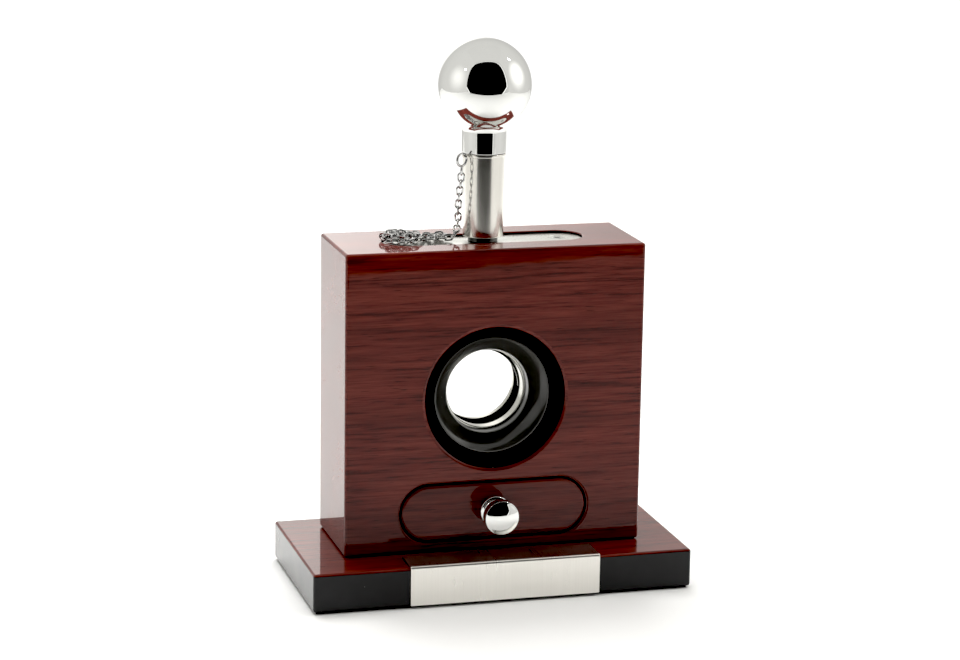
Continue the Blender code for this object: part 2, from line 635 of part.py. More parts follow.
def chain_route():
    """Centre line from the jump ring down to the top plate and along it to the heap."""
    start = ear_point(RING_REACH, RING_Z - RING_R - RING_WIRE_R - 0.0001)
    floor = PILE_LOW + CHAIN_R + 0.0001
    laid = [(-0.0094, -0.0012, 0.0022), (-0.0103, -0.0008, 0.0005), (-0.0120, -0.0002, 0.0),
            (-0.0143, 0.0008, 0.0), (-0.0166, -0.0004, 0.0), (PILE_RIGHT + 0.0008, -0.0008, 0.0)]
    return [start,
            start + Vector((-0.0002, 0.0001, -0.0045)),
            start + Vector((-0.0006, 0.0006, -0.0095)),
            start + Vector((-0.0007, 0.0012, -0.0140)),
            start + Vector((-0.0005, 0.0020, -0.0180)),
            ] + [Vector((x, AXIS_Y + y, floor + z)) for x, y, z in laid]


def smooth_path(points, steps):
    """Points along a Catmull-Rom curve through the route's own points."""
    padded = [2 * points[0] - points[1]] + points + [2 * points[-1] - points[-2]]
    path = []
    for i in range(1, len(padded) - 2):
        p0, p1, p2, p3 = padded[i - 1:i + 3]
        for k in range(steps):
            t = k / steps
            path.append(0.5 * (2 * p1 + (p2 - p0) * t + (2 * p0 - 5 * p1 + 4 * p2 - p3) * t * t
                               + (3 * p1 - p0 - 3 * p2 + p3) * t ** 3))
    path.append(points[-1].copy())
    return path


def build_chain():
    curve = bpy.data.curves.new("chain_drop", "CURVE")
    curve.dimensions = "3D"
    curve.bevel_depth = CHAIN_R
    curve.bevel_resolution = 2
    curve.use_fill_caps = True
    points = smooth_path(chain_route(), 3)
    path = curve.splines.new("POLY")
    path.points.add(len(points) - 1)
    for spot, point in zip(path.points, points):
        spot.co = (*point, 1.0)
    drop = bpy.data.objects.new("chain_drop", curve)
    bpy.context.collection.objects.link(drop)
    curve.materials.append(CHAIN_STEEL)

    middle = (PILE_LEFT + PILE_RIGHT) / 2
    half_length = (PILE_RIGHT - PILE_LEFT) / 2
    heap = stadium_mesh("chain_pile", half_length, PILE_HALF_W, PILE_LOW, PILE_LOW + PILE_HEIGHT, "Z",
                        (middle, AXIS_Y - 0.0008, 0.0), 0.0009)
    add_object("chain_pile", heap, CHAIN_STEEL)

    shank = rod_outline(0.0005, TOP_PLATE_LOW, TOP_PLATE_TOP + 0.0010)
    anchor = add_object("chain_anchor", turned_mesh("chain_anchor", shank, 12, "Z", (*ANCHOR_SPOT, 0.0)),
                        CHAIN_STEEL)
    eye_z = TOP_PLATE_TOP + 0.0018
    eye = turned_mesh("anchor_eye", rod_outline(0.0012, -0.0004, 0.0004), 16, "Y", (*ANCHOR_SPOT, eye_z))
    combine(anchor, [eye], "UNION")
    bore = rod_outline(0.0006, -0.002, 0.002)
    combine(anchor, [turned_mesh("anchor_bore", bore, 12, "Y", (*ANCHOR_SPOT, eye_z))])


# ---- drawer -------------------------------------------------------------------------------------
KNOB_REACH = 0.0102           # to the edge of the knob's domed head
KNOB_DOME_R = 0.0100


def build_drawer():
    origin = (0.0, TOWER_FRONT, DRAWER_Z)
    hole = rod_outline(0.0014, -0.002, 0.012)
    shape = stadium_mesh("drawer_front", DRAWER_HALF_L - DRAWER_GAP, DRAWER_HALF_H - DRAWER_GAP,
                         0.0, DRAWER_FRONT_T, "Y", origin, 0.0005)
    front = add_object("drawer_front", shape, MAHOGANY)
    combine(front, [turned_mesh("front_hole", hole, SMALL, "Y", origin)])

    near = TOWER_FRONT + DRAWER_FRONT_T + SEAT_GAP
    far = near + TRAY_LENGTH
    shape = block_mesh("drawer_tray", (-TRAY_HALF_W, near, TRAY_LOW), (TRAY_HALF_W, far, TRAY_HIGH))
    tray = add_object("drawer_tray", shape, BLACK_LACQUER, smooth=False)
    hollow = block_mesh("tray_hollow", (-TRAY_HALF_W + TRAY_WALL, near + TRAY_WALL, TRAY_LOW + TRAY_WALL),
                        (TRAY_HALF_W - TRAY_WALL, far - TRAY_WALL, TRAY_HIGH + 0.002))
    combine(tray, [hollow, turned_mesh("tray_hole", hole, SMALL, "Y", origin)])

    clear = TRAY_WALL + 0.0003
    floor = TRAY_LOW + TRAY_WALL
    liner = block_mesh("drawer_liner", (-TRAY_HALF_W + clear, near + clear, floor + 0.0001),
                       (TRAY_HALF_W - clear, far - clear, floor + 0.0009))
    add_object("drawer_liner", liner, BAIZE, smooth=False)

    head, neck, foot = 0.0056, 0.0040, 0.0051
    brow = head - 0.0003
    rest = KNOB_DOME_R - math.sqrt(KNOB_DOME_R ** 2 - brow ** 2)
    outline = []
    for share in (0.0, 0.3, 0.6, 0.85, 1.0):
        radius = brow * share
        sag = KNOB_DOME_R - math.sqrt(KNOB_DOME_R ** 2 - radius ** 2)
        outline.append((radius, -KNOB_REACH - rest + sag))
    outline += [(head, -KNOB_REACH + 0.0004), (head, -0.0070), (head - 0.0004, -0.0066), (neck, -0.0064),
                (neck, -0.0027), (foot - 0.0008, -0.0025), (foot, -0.0018), (foot, -0.0004),
                (foot - 0.0003, -SEAT_GAP), (0.00135, -SEAT_GAP), (0.00135, -0.0046), (0.0, -0.0046)]
    add_object("drawer_knob", turned_mesh("drawer_knob", outline, 24, "Y", origin), CHROME)

    inner = DRAWER_FRONT_T + SEAT_GAP + TRAY_WALL + 0.0001
    outline = [(0.0, -0.0042), (0.0012, -0.0042), (0.0012, inner), (0.0026, inner), (0.0026, inner + 0.0012),
               (0.0020, inner + 0.0017), (0.0, inner + 0.0017)]
    screw = add_object("knob_screw", turned_mesh("knob_screw", outline, SMALL, "Y", origin), SCREW_ZINC)
    low = (-0.0018, TOWER_FRONT + inner + 0.0009, DRAWER_Z - 0.0003)
    high = (0.0018, TOWER_FRONT + inner + 0.003, DRAWER_Z + 0.0003)
    combine(screw, [block_mesh("screw_slot", low, high)])


build_plinth()
build_corner_plate()
build_tower()
build_bezels()
build_cassette()
build_top_plate()
build_guide()
build_spring()
build_knob()
build_rod()
build_blade()
build_collar()
build_ring()
build_chain()
build_drawer()
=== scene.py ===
"""Looks of a tabletop guillotine cigar cutter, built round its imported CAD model.

Metres, +Z up, the front faces -Y. The dimensions repeat the CAD's own.
"""
import math
import random

import bmesh
import bpy
from mathutils import Matrix, Vector


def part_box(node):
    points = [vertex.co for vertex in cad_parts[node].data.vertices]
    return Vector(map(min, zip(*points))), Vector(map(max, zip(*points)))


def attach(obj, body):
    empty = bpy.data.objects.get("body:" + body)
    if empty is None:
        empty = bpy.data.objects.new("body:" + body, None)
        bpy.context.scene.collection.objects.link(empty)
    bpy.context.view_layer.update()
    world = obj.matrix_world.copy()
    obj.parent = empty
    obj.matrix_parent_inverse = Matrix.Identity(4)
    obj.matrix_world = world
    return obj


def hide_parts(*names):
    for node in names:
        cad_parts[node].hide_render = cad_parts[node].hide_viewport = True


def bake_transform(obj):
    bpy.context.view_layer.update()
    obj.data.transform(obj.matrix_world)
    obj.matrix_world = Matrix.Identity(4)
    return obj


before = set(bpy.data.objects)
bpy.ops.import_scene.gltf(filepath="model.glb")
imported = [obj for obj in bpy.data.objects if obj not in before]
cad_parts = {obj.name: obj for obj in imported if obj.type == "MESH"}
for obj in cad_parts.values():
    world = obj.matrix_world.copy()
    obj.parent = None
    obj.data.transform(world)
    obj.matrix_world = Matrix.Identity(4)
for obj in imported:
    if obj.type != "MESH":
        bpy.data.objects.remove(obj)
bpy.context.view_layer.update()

# ---- dimensions shared with the CAD ----
BASE_LOW, BASE_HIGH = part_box("base_plinth")
TOWER_LOW, TOWER_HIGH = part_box("tower_block")
BASE_TOP = BASE_HIGH.z
TOWER_TOP = TOWER_HIGH.z
TOWER_FRONT = TOWER_LOW.y
TOWER_BACK = TOWER_HIGH.y
TOWER_DEPTH = TOWER_BACK - TOWER_FRONT
AXIS_Y = (TOWER_FRONT + TOWER_BACK) / 2
HOLE_Z = TOWER_LOW.z + 0.0507
DRAWER_Z = TOWER_LOW.z + 0.0131
ROD_LINE = (0.0, AXIS_Y, 0.0)
THROAT_LINE = (0.0, 0.0, HOLE_Z)
GAP = 0.0002
STROKE = 0.0248

HOLE_R = 0.0130
MOUTH_R = 0.0240
BORE_R = 0.01995
BEZEL_R = 0.0197
LIP_R = 0.0136
BEZEL_SET_BACK = 0.0044
FRONT_LIP_DEPTH = 0.0122
REAR_LIP_DEPTH = 0.0102

PLATE_T = 0.0016
BLADE_T = 0.0020
BLADE_GAP = 0.0034
PLATE_HALF_W = 0.0217
BLADE_HALF_W = 0.0181
NOTCH_Z = HOLE_Z - 0.0013
CASSETTE_LOW = NOTCH_Z - STROKE - 0.0007
CASSETTE_HIGH = HOLE_Z + 0.0150
SLOT_HALF_W = 0.0220
SLOT_HALF_D = 0.0036
SLOT_LOW = CASSETTE_LOW - 0.0003
HOLDER_LOW = CASSETTE_HIGH + STROKE + 0.0004
BLADE_TOP = HOLDER_LOW + 0.0015

POCKET_HALF_L = 0.0337
POCKET_HALF_W = 0.0083
POCKET_DEPTH = 0.0032
PLATE_TOP = TOWER_TOP - 0.0008
PLATE_LOW = TOWER_TOP - POCKET_DEPTH + 0.0001
TOP_SCREW_X = POCKET_HALF_L - POCKET_HALF_W

ROD_R = 0.0025
TUBE_R = 0.0067
TUBE_BORE_R = 0.0057
TUBE_LOW = TOWER_TOP + 0.0010
SPRING_SEAT = TOWER_TOP + 0.0055
TUBE_HIGH = TOWER_TOP + 0.0281
NECK_R = 0.0049
FERRULE_R = 0.0072
FERRULE_LOW = TOWER_TOP + 0.02845
KNOB_BORE_R = 0.00682
KNOB_BORE_TOP = TOWER_TOP + 0.0556
BALL_R = 0.01515
BALL_Z = TOWER_TOP + 0.0504
SPRING_WIRE_R = 0.00045
SPRING_R = 0.0041
SPRING_TURNS = 9

CHAIN_R = 0.0012
EAR_ANGLE = math.radians(62.0)
EAR_REACH = 0.0081
RING_R = 0.0020
RING_WIRE_R = 0.0003
RING_TILT = math.radians(30.0)
RING_REACH = EAR_REACH + RING_R * math.cos(RING_TILT)
COLLAR_MID = FERRULE_LOW - 0.00065
RING_Z = COLLAR_MID - RING_R * math.sin(RING_TILT)
CHAIN_FLOOR = PLATE_TOP + 0.00015 + CHAIN_R + 0.0001
ANCHOR_SPOT = (-0.0235, AXIS_Y + 0.0062)
ANCHOR_EYE_Z = PLATE_TOP + 0.0018

DRAWER_HALF_L = 0.0318
DRAWER_HALF_H = 0.00995
DRAWER_GAP = 0.0007
DRAWER_CAVITY = 0.0335
DRAWER_FRONT_T = 0.0050
TRAY_HALF_W = 0.0215
TRAY_LOW = DRAWER_Z - 0.0090
TRAY_HIGH = DRAWER_Z + 0.0071
TRAY_LENGTH = 0.0264
TRAY_WALL = 0.0020
KNOB_REACH = 0.0102           # to the edge of the knob's domed head
KNOB_DOME_R = 0.0100

CORNER_HALF_W = 0.03175
CORNER_T = 0.0007
CORNER_LOW = 0.0010
CORNER_FLANGE = 0.0113

FINE = 128                    # segments round a large turned piece
SMALL = 40                    # segments round a screw or pin
ARC_STEPS = 28                # steps round each end of a slot shape
WIRE_SIDES = 8
SHARP = math.radians(32.0)
NEARLY_STRAIGHT = math.radians(172.0)
ON_AXIS = 1e-7


def added(name, data):
    """A new object in the scene."""
    thing = bpy.data.objects.new(name, data)
    bpy.context.scene.collection.objects.link(thing)
    return thing


def around(count):
    """Angles spaced evenly round a circle."""
    return [2 * math.pi * k / count for k in range(count)]


# ---- camera ----
SENSOR_MM = 36.0
LENS_MM = 107.806
CLIP_START = 0.01
CAMERA_PLACE = (-0.25027, -0.88317, 0.29530)
CAMERA_RIGHT = (0.9633, -0.26801, 0.01508)
CAMERA_UP = (0.04614, 0.22066, 0.97426)
CAMERA_BACK = (-0.26444, -0.93781, 0.22493)


def make_camera():
    data = bpy.data.cameras.new("camera")
    data.sensor_width = SENSOR_MM
    data.lens = LENS_MM
    data.clip_start = CLIP_START
    camera = added("camera", data)
    turn = Matrix((CAMERA_RIGHT, CAMERA_UP, CAMERA_BACK)).transposed().to_4x4()
    camera.matrix_world = Matrix.Translation(CAMERA_PLACE) @ turn
    bpy.context.scene.camera = camera


# ---- material helpers ----
class Finish:
    """A material, with short ways to add nodes to it."""

    def __init__(self, name):
        self.material = bpy.data.materials.new(name)
        self.material.use_nodes = True
        self.tree = self.material.node_tree
        self.shader = self.tree.nodes["Principled BSDF"]
        self.where = self.tree.nodes.new("ShaderNodeTexCoord").outputs["Object"]

    def feed(self, socket, value):
        if isinstance(value, bpy.types.NodeSocket):
            self.tree.links.new(value, socket)
        else:
            socket.default_value = value

    def set(self, **values):
        for key, value in values.items():
            self.feed(self.shader.inputs[key.replace("_", " ")], value)

    def node(self, kind, inputs, **settings):
        made = self.tree.nodes.new(kind)
        for key, value in settings.items():
            setattr(made, key, value)
        for key, value in inputs.items():
            self.feed(made.inputs[key], value)
        return made

    def stretched(self, scale, shift):
        moved = self.node("ShaderNodeVectorMath", {0: self.where, 1: shift}, operation="ADD")
        scaled = self.node("ShaderNodeVectorMath", {0: moved.outputs[0], 1: scale}, operation="MULTIPLY")
        return scaled.outputs[0]

    def noise(self, scale, detail, roughness, distortion=0.0, shift=(0.0, 0.0, 0.0)):
        """Noise of one fineness, or of one along each axis."""
        if isinstance(scale, float):
            scale = (scale, scale, scale)
        made = self.node("ShaderNodeTexNoise", {"Vector": self.stretched(scale, shift), "Scale": 1.0,
                                               "Detail": detail, "Roughness": roughness,
                                               "Distortion": distortion})
        return made.outputs["Fac"]

    def ramp(self, value, stops):
        """Colours or greys at (position, colour) stops."""
        made = self.node("ShaderNodeValToRGB", {"Fac": value})
        ramp = made.color_ramp
        while len(ramp.elements) < len(stops):
            ramp.elements.new(0.5)
        for element, (position, colour) in zip(ramp.elements, stops):
            element.position = position
            if not hasattr(colour, "__len__"):
                colour = (colour, colour, colour)
            element.color = (*colour, 1.0)
        return made.outputs["Color"]

    def mix(self, share, first, second):
        made = self.node("ShaderNodeMix", {0: share}, data_type="RGBA")
        for number, value in ((6, first), (7, second)):
            if not isinstance(value, bpy.types.NodeSocket):
                value = (*value, 1.0)
            self.feed(made.inputs[number], value)
        return made.outputs[2]

    def spread(self, value, low, high):
        """Map 0 to 1 onto low to high."""
        made = self.node("ShaderNodeMapRange", {"Value": value, "To Min": low, "To Max": high})
        return made.outputs["Result"]

    def bump(self, height, distance):
        inputs = {"Height": height, "Distance": distance, "Strength": 1.0}
        return self.node("ShaderNodeBump", inputs).outputs["Normal"]


MAHOGANY_TONES = ((0.060, 0.0090, 0.0072), (0.142, 0.0240, 0.0188), (0.205, 0.0410, 0.0290))
PORE_TONE = (0.012, 0.0020, 0.0014)
DUST_TONE = (0.35, 0.34, 0.32)
PEEL_DEPTH = 0.00002          # orange peel of a sprayed coat


def wood_finish(name, shade, shift=(0.0, 0.0, 0.0)):
    """Lacquered mahogany, its grain along X: bands, fine streaks and short dark pores under a clear coat."""
    f = Finish(name)
    bands = f.noise((8.0, 42.0, 48.0), 3.0, 0.6, 0.5, shift)
    streaks = f.noise((38.0, 860.0, 920.0), 5.0, 0.66, 0.15, shift)
    fibres = f.noise((75.0, 2300.0, 2500.0), 3.0, 0.6, 0.0, shift)
    pores = f.noise((110.0, 2100.0, 2300.0), 2.0, 0.5, 0.0, (0.3, 0.1, 0.2))
    dark, mid, light = [tuple(c * shade for c in tone) for tone in MAHOGANY_TONES]
    wood = f.ramp(streaks, [(0.36, dark), (0.46, mid), (0.64, light)])
    banded = f.mix(f.ramp(bands, [(0.36, 0.60), (0.58, 0.0)]), wood, dark)
    fine = f.mix(f.ramp(fibres, [(0.32, 0.45), (0.52, 0.0)]), banded, dark)
    colour = f.mix(f.ramp(pores, [(0.27, 0.85), (0.36, 0.0)]), fine, PORE_TONE)
    peel = f.noise(90.0, 2.0, 0.4)
    f.set(Base_Color=colour, Roughness=f.spread(streaks, 0.40, 0.54), Specular_IOR_Level=0.05,
          Coat_Weight=1.0, Coat_Roughness=0.02, Coat_IOR=1.38, Coat_Normal=f.bump(peel, PEEL_DEPTH))
    return f.material


def paint_finish(name, colour, roughness, coat, peel_depth=PEEL_DEPTH, coat_ior=1.36, gloss=0.4):
    """Black paint or moulding: a little mottling, dust specks and a slight orange peel."""
    f = Finish(name)
    cloud = f.noise(70.0, 3.0, 0.6)
    specks = f.noise(1500.0, 1.0, 0.5)
    pale = tuple(min(1.0, c * 2.2 + 0.006) for c in colour)
    tone = f.mix(f.ramp(cloud, [(0.4, 0.0), (0.8, 0.35)]), colour, pale)
    tone = f.mix(f.ramp(specks, [(0.80, 0.0), (0.84, 1.0)]), tone, DUST_TONE)
    peel = f.noise(160.0, 2.0, 0.4)
    f.set(Base_Color=tone, Roughness=f.spread(cloud, roughness * 0.8, roughness * 1.25),
          Specular_IOR_Level=gloss, Coat_Weight=coat, Coat_Roughness=0.03, Coat_IOR=coat_ior,
          Normal=f.bump(peel, peel_depth), Coat_Normal=f.bump(peel, peel_depth))
    return f.material


def metal_finish(name, colour, roughness, lines, contrast, line_depth=0.0, anisotropy=0.0, specks=0.0,
                 edge=1.0):
    """Bare or plated metal: brush lines, faint mottling and small marks.

    lines is the brush lines' fineness, and edge tints the reflection where the surface turns away.
    """
    f = Finish(name)
    brush = f.noise(lines, 4.0, 0.7)
    cloud = f.noise(90.0, 3.0, 0.6)
    dark = tuple(c * (1.0 - contrast) for c in colour)
    tone = f.mix(f.ramp(brush, [(0.30, 0.0), (0.70, 1.0)]), dark, colour)
    tone = f.mix(f.ramp(cloud, [(0.45, 0.0), (0.85, 0.5)]), tone, dark)
    if specks > 0.0:
        marks = f.noise(900.0, 1.0, 0.5)
        tone = f.mix(f.ramp(marks, [(0.77, 0.0), (0.82, specks)]), tone, (1.0, 1.0, 1.0))
    rough = f.spread(f.mix(0.5, brush, cloud), roughness * 0.6, roughness * 1.4)
    f.set(Base_Color=tone, Metallic=1.0, Roughness=rough, Anisotropic=anisotropy,
          Specular_Tint=(edge, edge, edge, 1.0))
    if line_depth > 0.0:
        f.set(Normal=f.bump(brush, line_depth))
    return f.material


def felt_finish(name, colour):
    """Short dense pile: fine fibres in height and tone."""
    f = Finish(name)
    pile = f.noise(2200.0, 4.0, 0.75)
    worn = f.noise(60.0, 3.0, 0.6)
    dark = tuple(c * 0.35 for c in colour)
    tone = f.mix(f.ramp(pile, [(0.30, 0.0), (0.70, 1.0)]), dark, colour)
    tone = f.mix(f.ramp(worn, [(0.50, 0.0), (0.80, 0.4)]), tone, tuple(c * 1.5 for c in colour))
    f.set(Base_Color=tone, Roughness=0.95, Specular_IOR_Level=0.2, Sheen_Weight=0.3, Sheen_Roughness=0.5,
          Normal=f.bump(pile, 0.00025))
    return f.material


WOOD = wood_finish("lacquered_mahogany", 1.0)
PLINTH_WOOD = wood_finish("plinth_mahogany", 0.95, (0.4, 0.2, 0.1))
DRAWER_WOOD = wood_finish("drawer_mahogany", 0.85, (0.15, 0.6, 0.35))
# The mouth's rounded wood edge gets a brighter copy of the wood: a painted highlight where the edge catches
# the light.
MOUTH_EDGE_HIGHLIGHT = wood_finish("mouth_edge_painted_highlight", 1.1, (0.2, 0.0, 0.5))
PLINTH_BLACK = paint_finish("plinth_black", (0.006, 0.006, 0.0072), 0.30, 1.0, coat_ior=1.38, gloss=0.10)
# Black paint on the mouth's chamfer. The same black is also painted shade inside the drawer cavity, the blade
# slot, the plate pocket's walls and the rear guard's relief bore.
THROAT_BLACK_AND_SHADE = paint_finish("throat_black_and_painted_shade", (0.0040, 0.0040, 0.0040), 0.60, 0.0, gloss=0.15)
BEZEL_BLACK = paint_finish("bezel_black", (0.0360, 0.0355, 0.0330), 0.30, 1.0, peel_depth=0.0,
                           coat_ior=1.50, gloss=0.20)
TRAY_BLACK = paint_finish("tray_black", (0.012, 0.012, 0.013), 0.40, 0.3)
CHROME = metal_finish("chrome_plate", (0.80, 0.805, 0.79), 0.025, 300.0, 0.03, edge=0.76)
NICKEL = metal_finish("satin_nickel_tube", (0.88, 0.86, 0.81), 0.18, (2600.0, 2600.0, 30.0), 0.06,
                      specks=0.6)
PLATE_STEEL = metal_finish("brushed_plate_steel", (0.86, 0.84, 0.79), 0.30, (2400.0, 14.0, 14.0), 0.05,
                           line_depth=0.0000003, anisotropy=0.3)
TOP_STEEL = metal_finish("brushed_top_steel", (0.82, 0.82, 0.78), 0.28, (14.0, 2200.0, 2200.0), 0.10,
                         line_depth=0.0000020, anisotropy=0.5)
GUARD_STEEL = metal_finish("guard_steel", (0.58, 0.575, 0.53), 0.20, (40.0, 40.0, 1800.0), 0.20,
                           line_depth=0.000002)
BLADE_STEEL = metal_finish("ground_blade_steel", (0.78, 0.78, 0.75), 0.16, (1800.0, 60.0, 30.0), 0.12,
                           line_depth=0.0000012)
CHAIN_STEEL = metal_finish("chain_wire", (0.72, 0.72, 0.72), 0.09, 600.0, 0.30)
ZINC = metal_finish("zinc_screw", (0.68, 0.68, 0.66), 0.26, 900.0, 0.22)
SPRING_STEEL = metal_finish("spring_wire", (0.46, 0.46, 0.47), 0.32, 900.0, 0.25)
BAIZE = felt_finish("black_baize", (0.030, 0.030, 0.032))
LINER_FELT = felt_finish("liner_felt", (0.040, 0.038, 0.040))


# ---- mesh helpers ----
def mesh_from(bm, name):
    bmesh.ops.recalc_face_normals(bm, faces=bm.faces)
    mesh = bpy.data.meshes.new(name)
    bm.to_mesh(mesh)
    bm.free()
    return mesh


def placed(bm, axis, centre):
    place = Matrix.Translation(Vector(centre))
    if axis == "Y":
        place = place @ Matrix.Rotation(math.radians(-90.0), 4, "X")
    bmesh.ops.transform(bm, matrix=place, verts=bm.verts)


def curved(start, corner, end, steps):
    """Points from start to end, on a curve that bends round the corner between them."""
    share = [k / steps for k in range(steps + 1)]
    return [tuple(start * (1 - t) ** 2 + corner * (2 * t * (1 - t)) + end * t * t) for t in share]


def rounded(points, radius, steps=4):
    """Round the corners of a closed (radius, height) outline. A third number is that corner's own radius."""
    result = []
    for i, point in enumerate(points):
        here = Vector(point[:2])
        wanted = point[2] if len(point) > 2 else radius
        before = Vector(points[i - 1][:2]) - here
        after = Vector(points[(i + 1) % len(points)][:2]) - here
        if wanted <= 0.0 or here.x < ON_AXIS or before.length < 1e-9 or after.length < 1e-9:
            result.append(tuple(here))
            continue
        angle = before.angle(after)
        if angle > NEARLY_STRAIGHT:
            result.append(tuple(here))
            continue
        cut = min(wanted / math.tan(angle / 2), 0.47 * before.length, 0.47 * after.length)
        first = here + before.normalized() * cut
        last = here + after.normalized() * cut
        result += curved(first, here, last, steps)
    return result


def turned(outline, segments, axis="Z", centre=(0.0, 0.0, 0.0)):
    """Revolve a closed outline of (radius, height) points. Along Y, height is depth behind centre."""
    bm = bmesh.new()
    rings = []
    for radius, height in outline:
        if radius < ON_AXIS:
            rings.append([bm.verts.new((0.0, 0.0, height))])
            continue
        rings.append([bm.verts.new((radius * math.cos(a), radius * math.sin(a), height))
                      for a in around(segments)])
    for first, second in zip(rings, rings[1:] + rings[:1]):
        if len(first) == 1 and len(second) == 1:
            continue
        for k in range(segments):
            n = (k + 1) % segments
            corners = [first[k % len(first)], first[n % len(first)],
                       second[n % len(second)], second[k % len(second)]]
            bm.faces.new(list(dict.fromkeys(corners)))
    placed(bm, axis, centre)
    return mesh_from(bm, "turned")


def rod(radius, low, high, segments, axis, centre):
    """A plain cylinder between two levels."""
    return turned([(0.0, low), (radius, low), (radius, high), (0.0, high)], segments, axis, centre)


def block(low, high, bevel=0.0, segments=3):
    """A box between two corners, its edges rounded by bevel."""
    bm = bmesh.new()
    bmesh.ops.create_cube(bm, size=1.0)
    size = Vector(high) - Vector(low)
    middle = (Vector(high) + Vector(low)) / 2
    place = Matrix.Translation(middle) @ Matrix.Diagonal((*size, 1.0))
    bmesh.ops.transform(bm, matrix=place, verts=bm.verts)
    if bevel > 0.0:
        bmesh.ops.bevel(bm, geom=bm.edges[:], offset=bevel, segments=segments, profile=0.5, affect="EDGES")
    return mesh_from(bm, "block")


def skin(bm, loops):
    """Faces from each loop of corners to the next, and one over each end."""
    for first, second in zip(loops, loops[1:]):
        for k in range(len(first)):
            n = (k + 1) % len(first)
            bm.faces.new((first[k], first[n], second[n], second[k]))
    bm.faces.new(loops[0])
    bm.faces.new(loops[-1])


def wire_ring(bm, middle, out, side, radius):
    """Corners round a wire's section, which lies in the plane of out and side."""
    return [bm.verts.new(middle + (out * math.cos(a) + side * math.sin(a)) * radius)
            for a in around(WIRE_SIDES)]


def wire_skin(bm, rings):
    """Faces along a wire, from each ring of corners to the next."""
    for first, second in zip(rings, rings[1:]):
        for k in range(WIRE_SIDES):
            n = (k + 1) % WIRE_SIDES
            bm.faces.new((first[k], second[k], second[n], first[n]))


def wire_section(middle_r, wire_r, steps):
    """Section of a round wire bent into a circle."""
    return [(middle_r + wire_r * math.cos(a), wire_r * math.sin(a)) for a in around(steps)]


def stadium_points(half_length, half_width):
    straight = half_length - half_width
    points = []
    for side, start in ((1, -90.0), (-1, 90.0)):
        for k in range(ARC_STEPS + 1):
            angle = math.radians(start + 180.0 * k / ARC_STEPS)
            points.append((side * straight + half_width * math.cos(angle), half_width * math.sin(angle)))
    return points


def stadium_loft(half_length, half_width, sections, axis, centre):
    """A slot-shaped solid through (growth, level) sections, in order."""
    bm = bmesh.new()
    loops = []
    for growth, level in sections:
        points = stadium_points(half_length + growth, half_width + growth)
        loops.append([bm.verts.new((x, y, level)) for x, y in points])
    skin(bm, loops)
    placed(bm, axis, centre)
    return mesh_from(bm, "stadium")


def quarter(radius, steps=5):
    """(inset, rise) pairs round a quarter circle, from the side wall to the flat face."""
    turn = [math.pi / 2 * k / steps for k in range(steps + 1)]
    return [(radius * (1 - math.cos(a)), radius * math.sin(a)) for a in turn]


def shaped(mesh, tools, operation="DIFFERENCE"):
    """Cut or join a mesh with each tool mesh in turn."""
    piece = added("work", mesh)
    for tool in tools:
        cutter = added("tool", tool)
        step = piece.modifiers.new("shape", "BOOLEAN")
        step.operation = operation
        step.solver = "EXACT"
        step.object = cutter
        bpy.context.view_layer.update()
        graph = bpy.context.evaluated_depsgraph_get()
        result = bpy.data.meshes.new_from_object(piece.evaluated_get(graph))
        piece.modifiers.remove(step)
        piece.data = result
        bpy.data.objects.remove(cutter, do_unlink=True)
    result = piece.data
    bpy.data.objects.remove(piece, do_unlink=True)
    return result


def make_piece(name, mesh, materials, body, node, choose=None, even=True):
    """Add a mesh as a piece, with its body and the CAD node it stands for.

    choose(centre, normal) gives each face's material number. Flat faces stay flat where even is true.
    """
    mesh.name = name
    piece = added(name, mesh)
    mesh.materials.clear()
    for material in materials:
        mesh.materials.append(material)
    for face in mesh.polygons:
        face.material_index = 0 if choose is None else choose(face.center, face.normal)
    mesh.shade_smooth()
    mesh.set_sharp_from_angle(angle=SHARP)
    if even:
        step = piece.modifiers.new("even_shading", "WEIGHTED_NORMAL")
        step.keep_sharp = True
        step.weight = 90
    if body is not None:
        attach(piece, body)
    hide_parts(node)
    return piece


def ear_point(reach, height):
    return Vector((-math.sin(EAR_ANGLE) * reach, AXIS_Y - math.cos(EAR_ANGLE) * reach, height))


# ---- chain ----
LINK_WIRE_R = 0.00033
LINK_HALF_L = 0.00143         # of the wire's centre line
LINK_HALF_W = 0.00094
LINK_PITCH = 2 * (LINK_HALF_L - LINK_WIRE_R)
LINK_STEPS = 20
ANCHOR_R = 0.0005
EYE_R = 0.0009
EYE_WIRE_R = 0.0003


def smooth_path(points, steps):
    """Points along a Catmull-Rom curve through the given points."""
    padded = [2 * points[0] - points[1]] + points + [2 * points[-1] - points[-2]]
    path = []
    for i in range(1, len(padded) - 2):
        p0, p1, p2, p3 = padded[i - 1:i + 3]
        for k in range(steps):
            t = k / steps
            path.append(0.5 * (2 * p1 + (p2 - p0) * t + (2 * p0 - 5 * p1 + 4 * p2 - p3) * t * t
                               + (3 * p1 - p0 - 3 * p2 + p3) * t ** 3))
    path.append(points[-1].copy())
    return path


def path_length(path):
    return sum((b - a).length for a, b in zip(path, path[1:]))


def at_length(path, distance):
    """The point and direction a distance along a path."""
    for a, b in zip(path, path[1:]):
        step = (b - a).length
        if distance <= step or b is path[-1]:
            share = max(0.0, min(1.0, distance / max(step, 1e-9)))
            return a.lerp(b, share), (b - a).normalized()
        distance -= step


def add_link(bm, centre, along, across):
    """One oval wire link, its long way along and its wide way across."""
    out = along.cross(across).normalized()
    across = out.cross(along).normalized()
    rings = []
    straight = LINK_HALF_L - LINK_HALF_W
    for angle in around(LINK_STEPS):
        outward = along * math.cos(angle) + across * math.sin(angle)
        middle = centre + outward * LINK_HALF_W
        middle += along * (straight if math.cos(angle) > 1e-9 else -straight)
        rings.append(wire_ring(bm, middle, outward, out, LINK_WIRE_R))
    wire_skin(bm, rings + rings[:1])


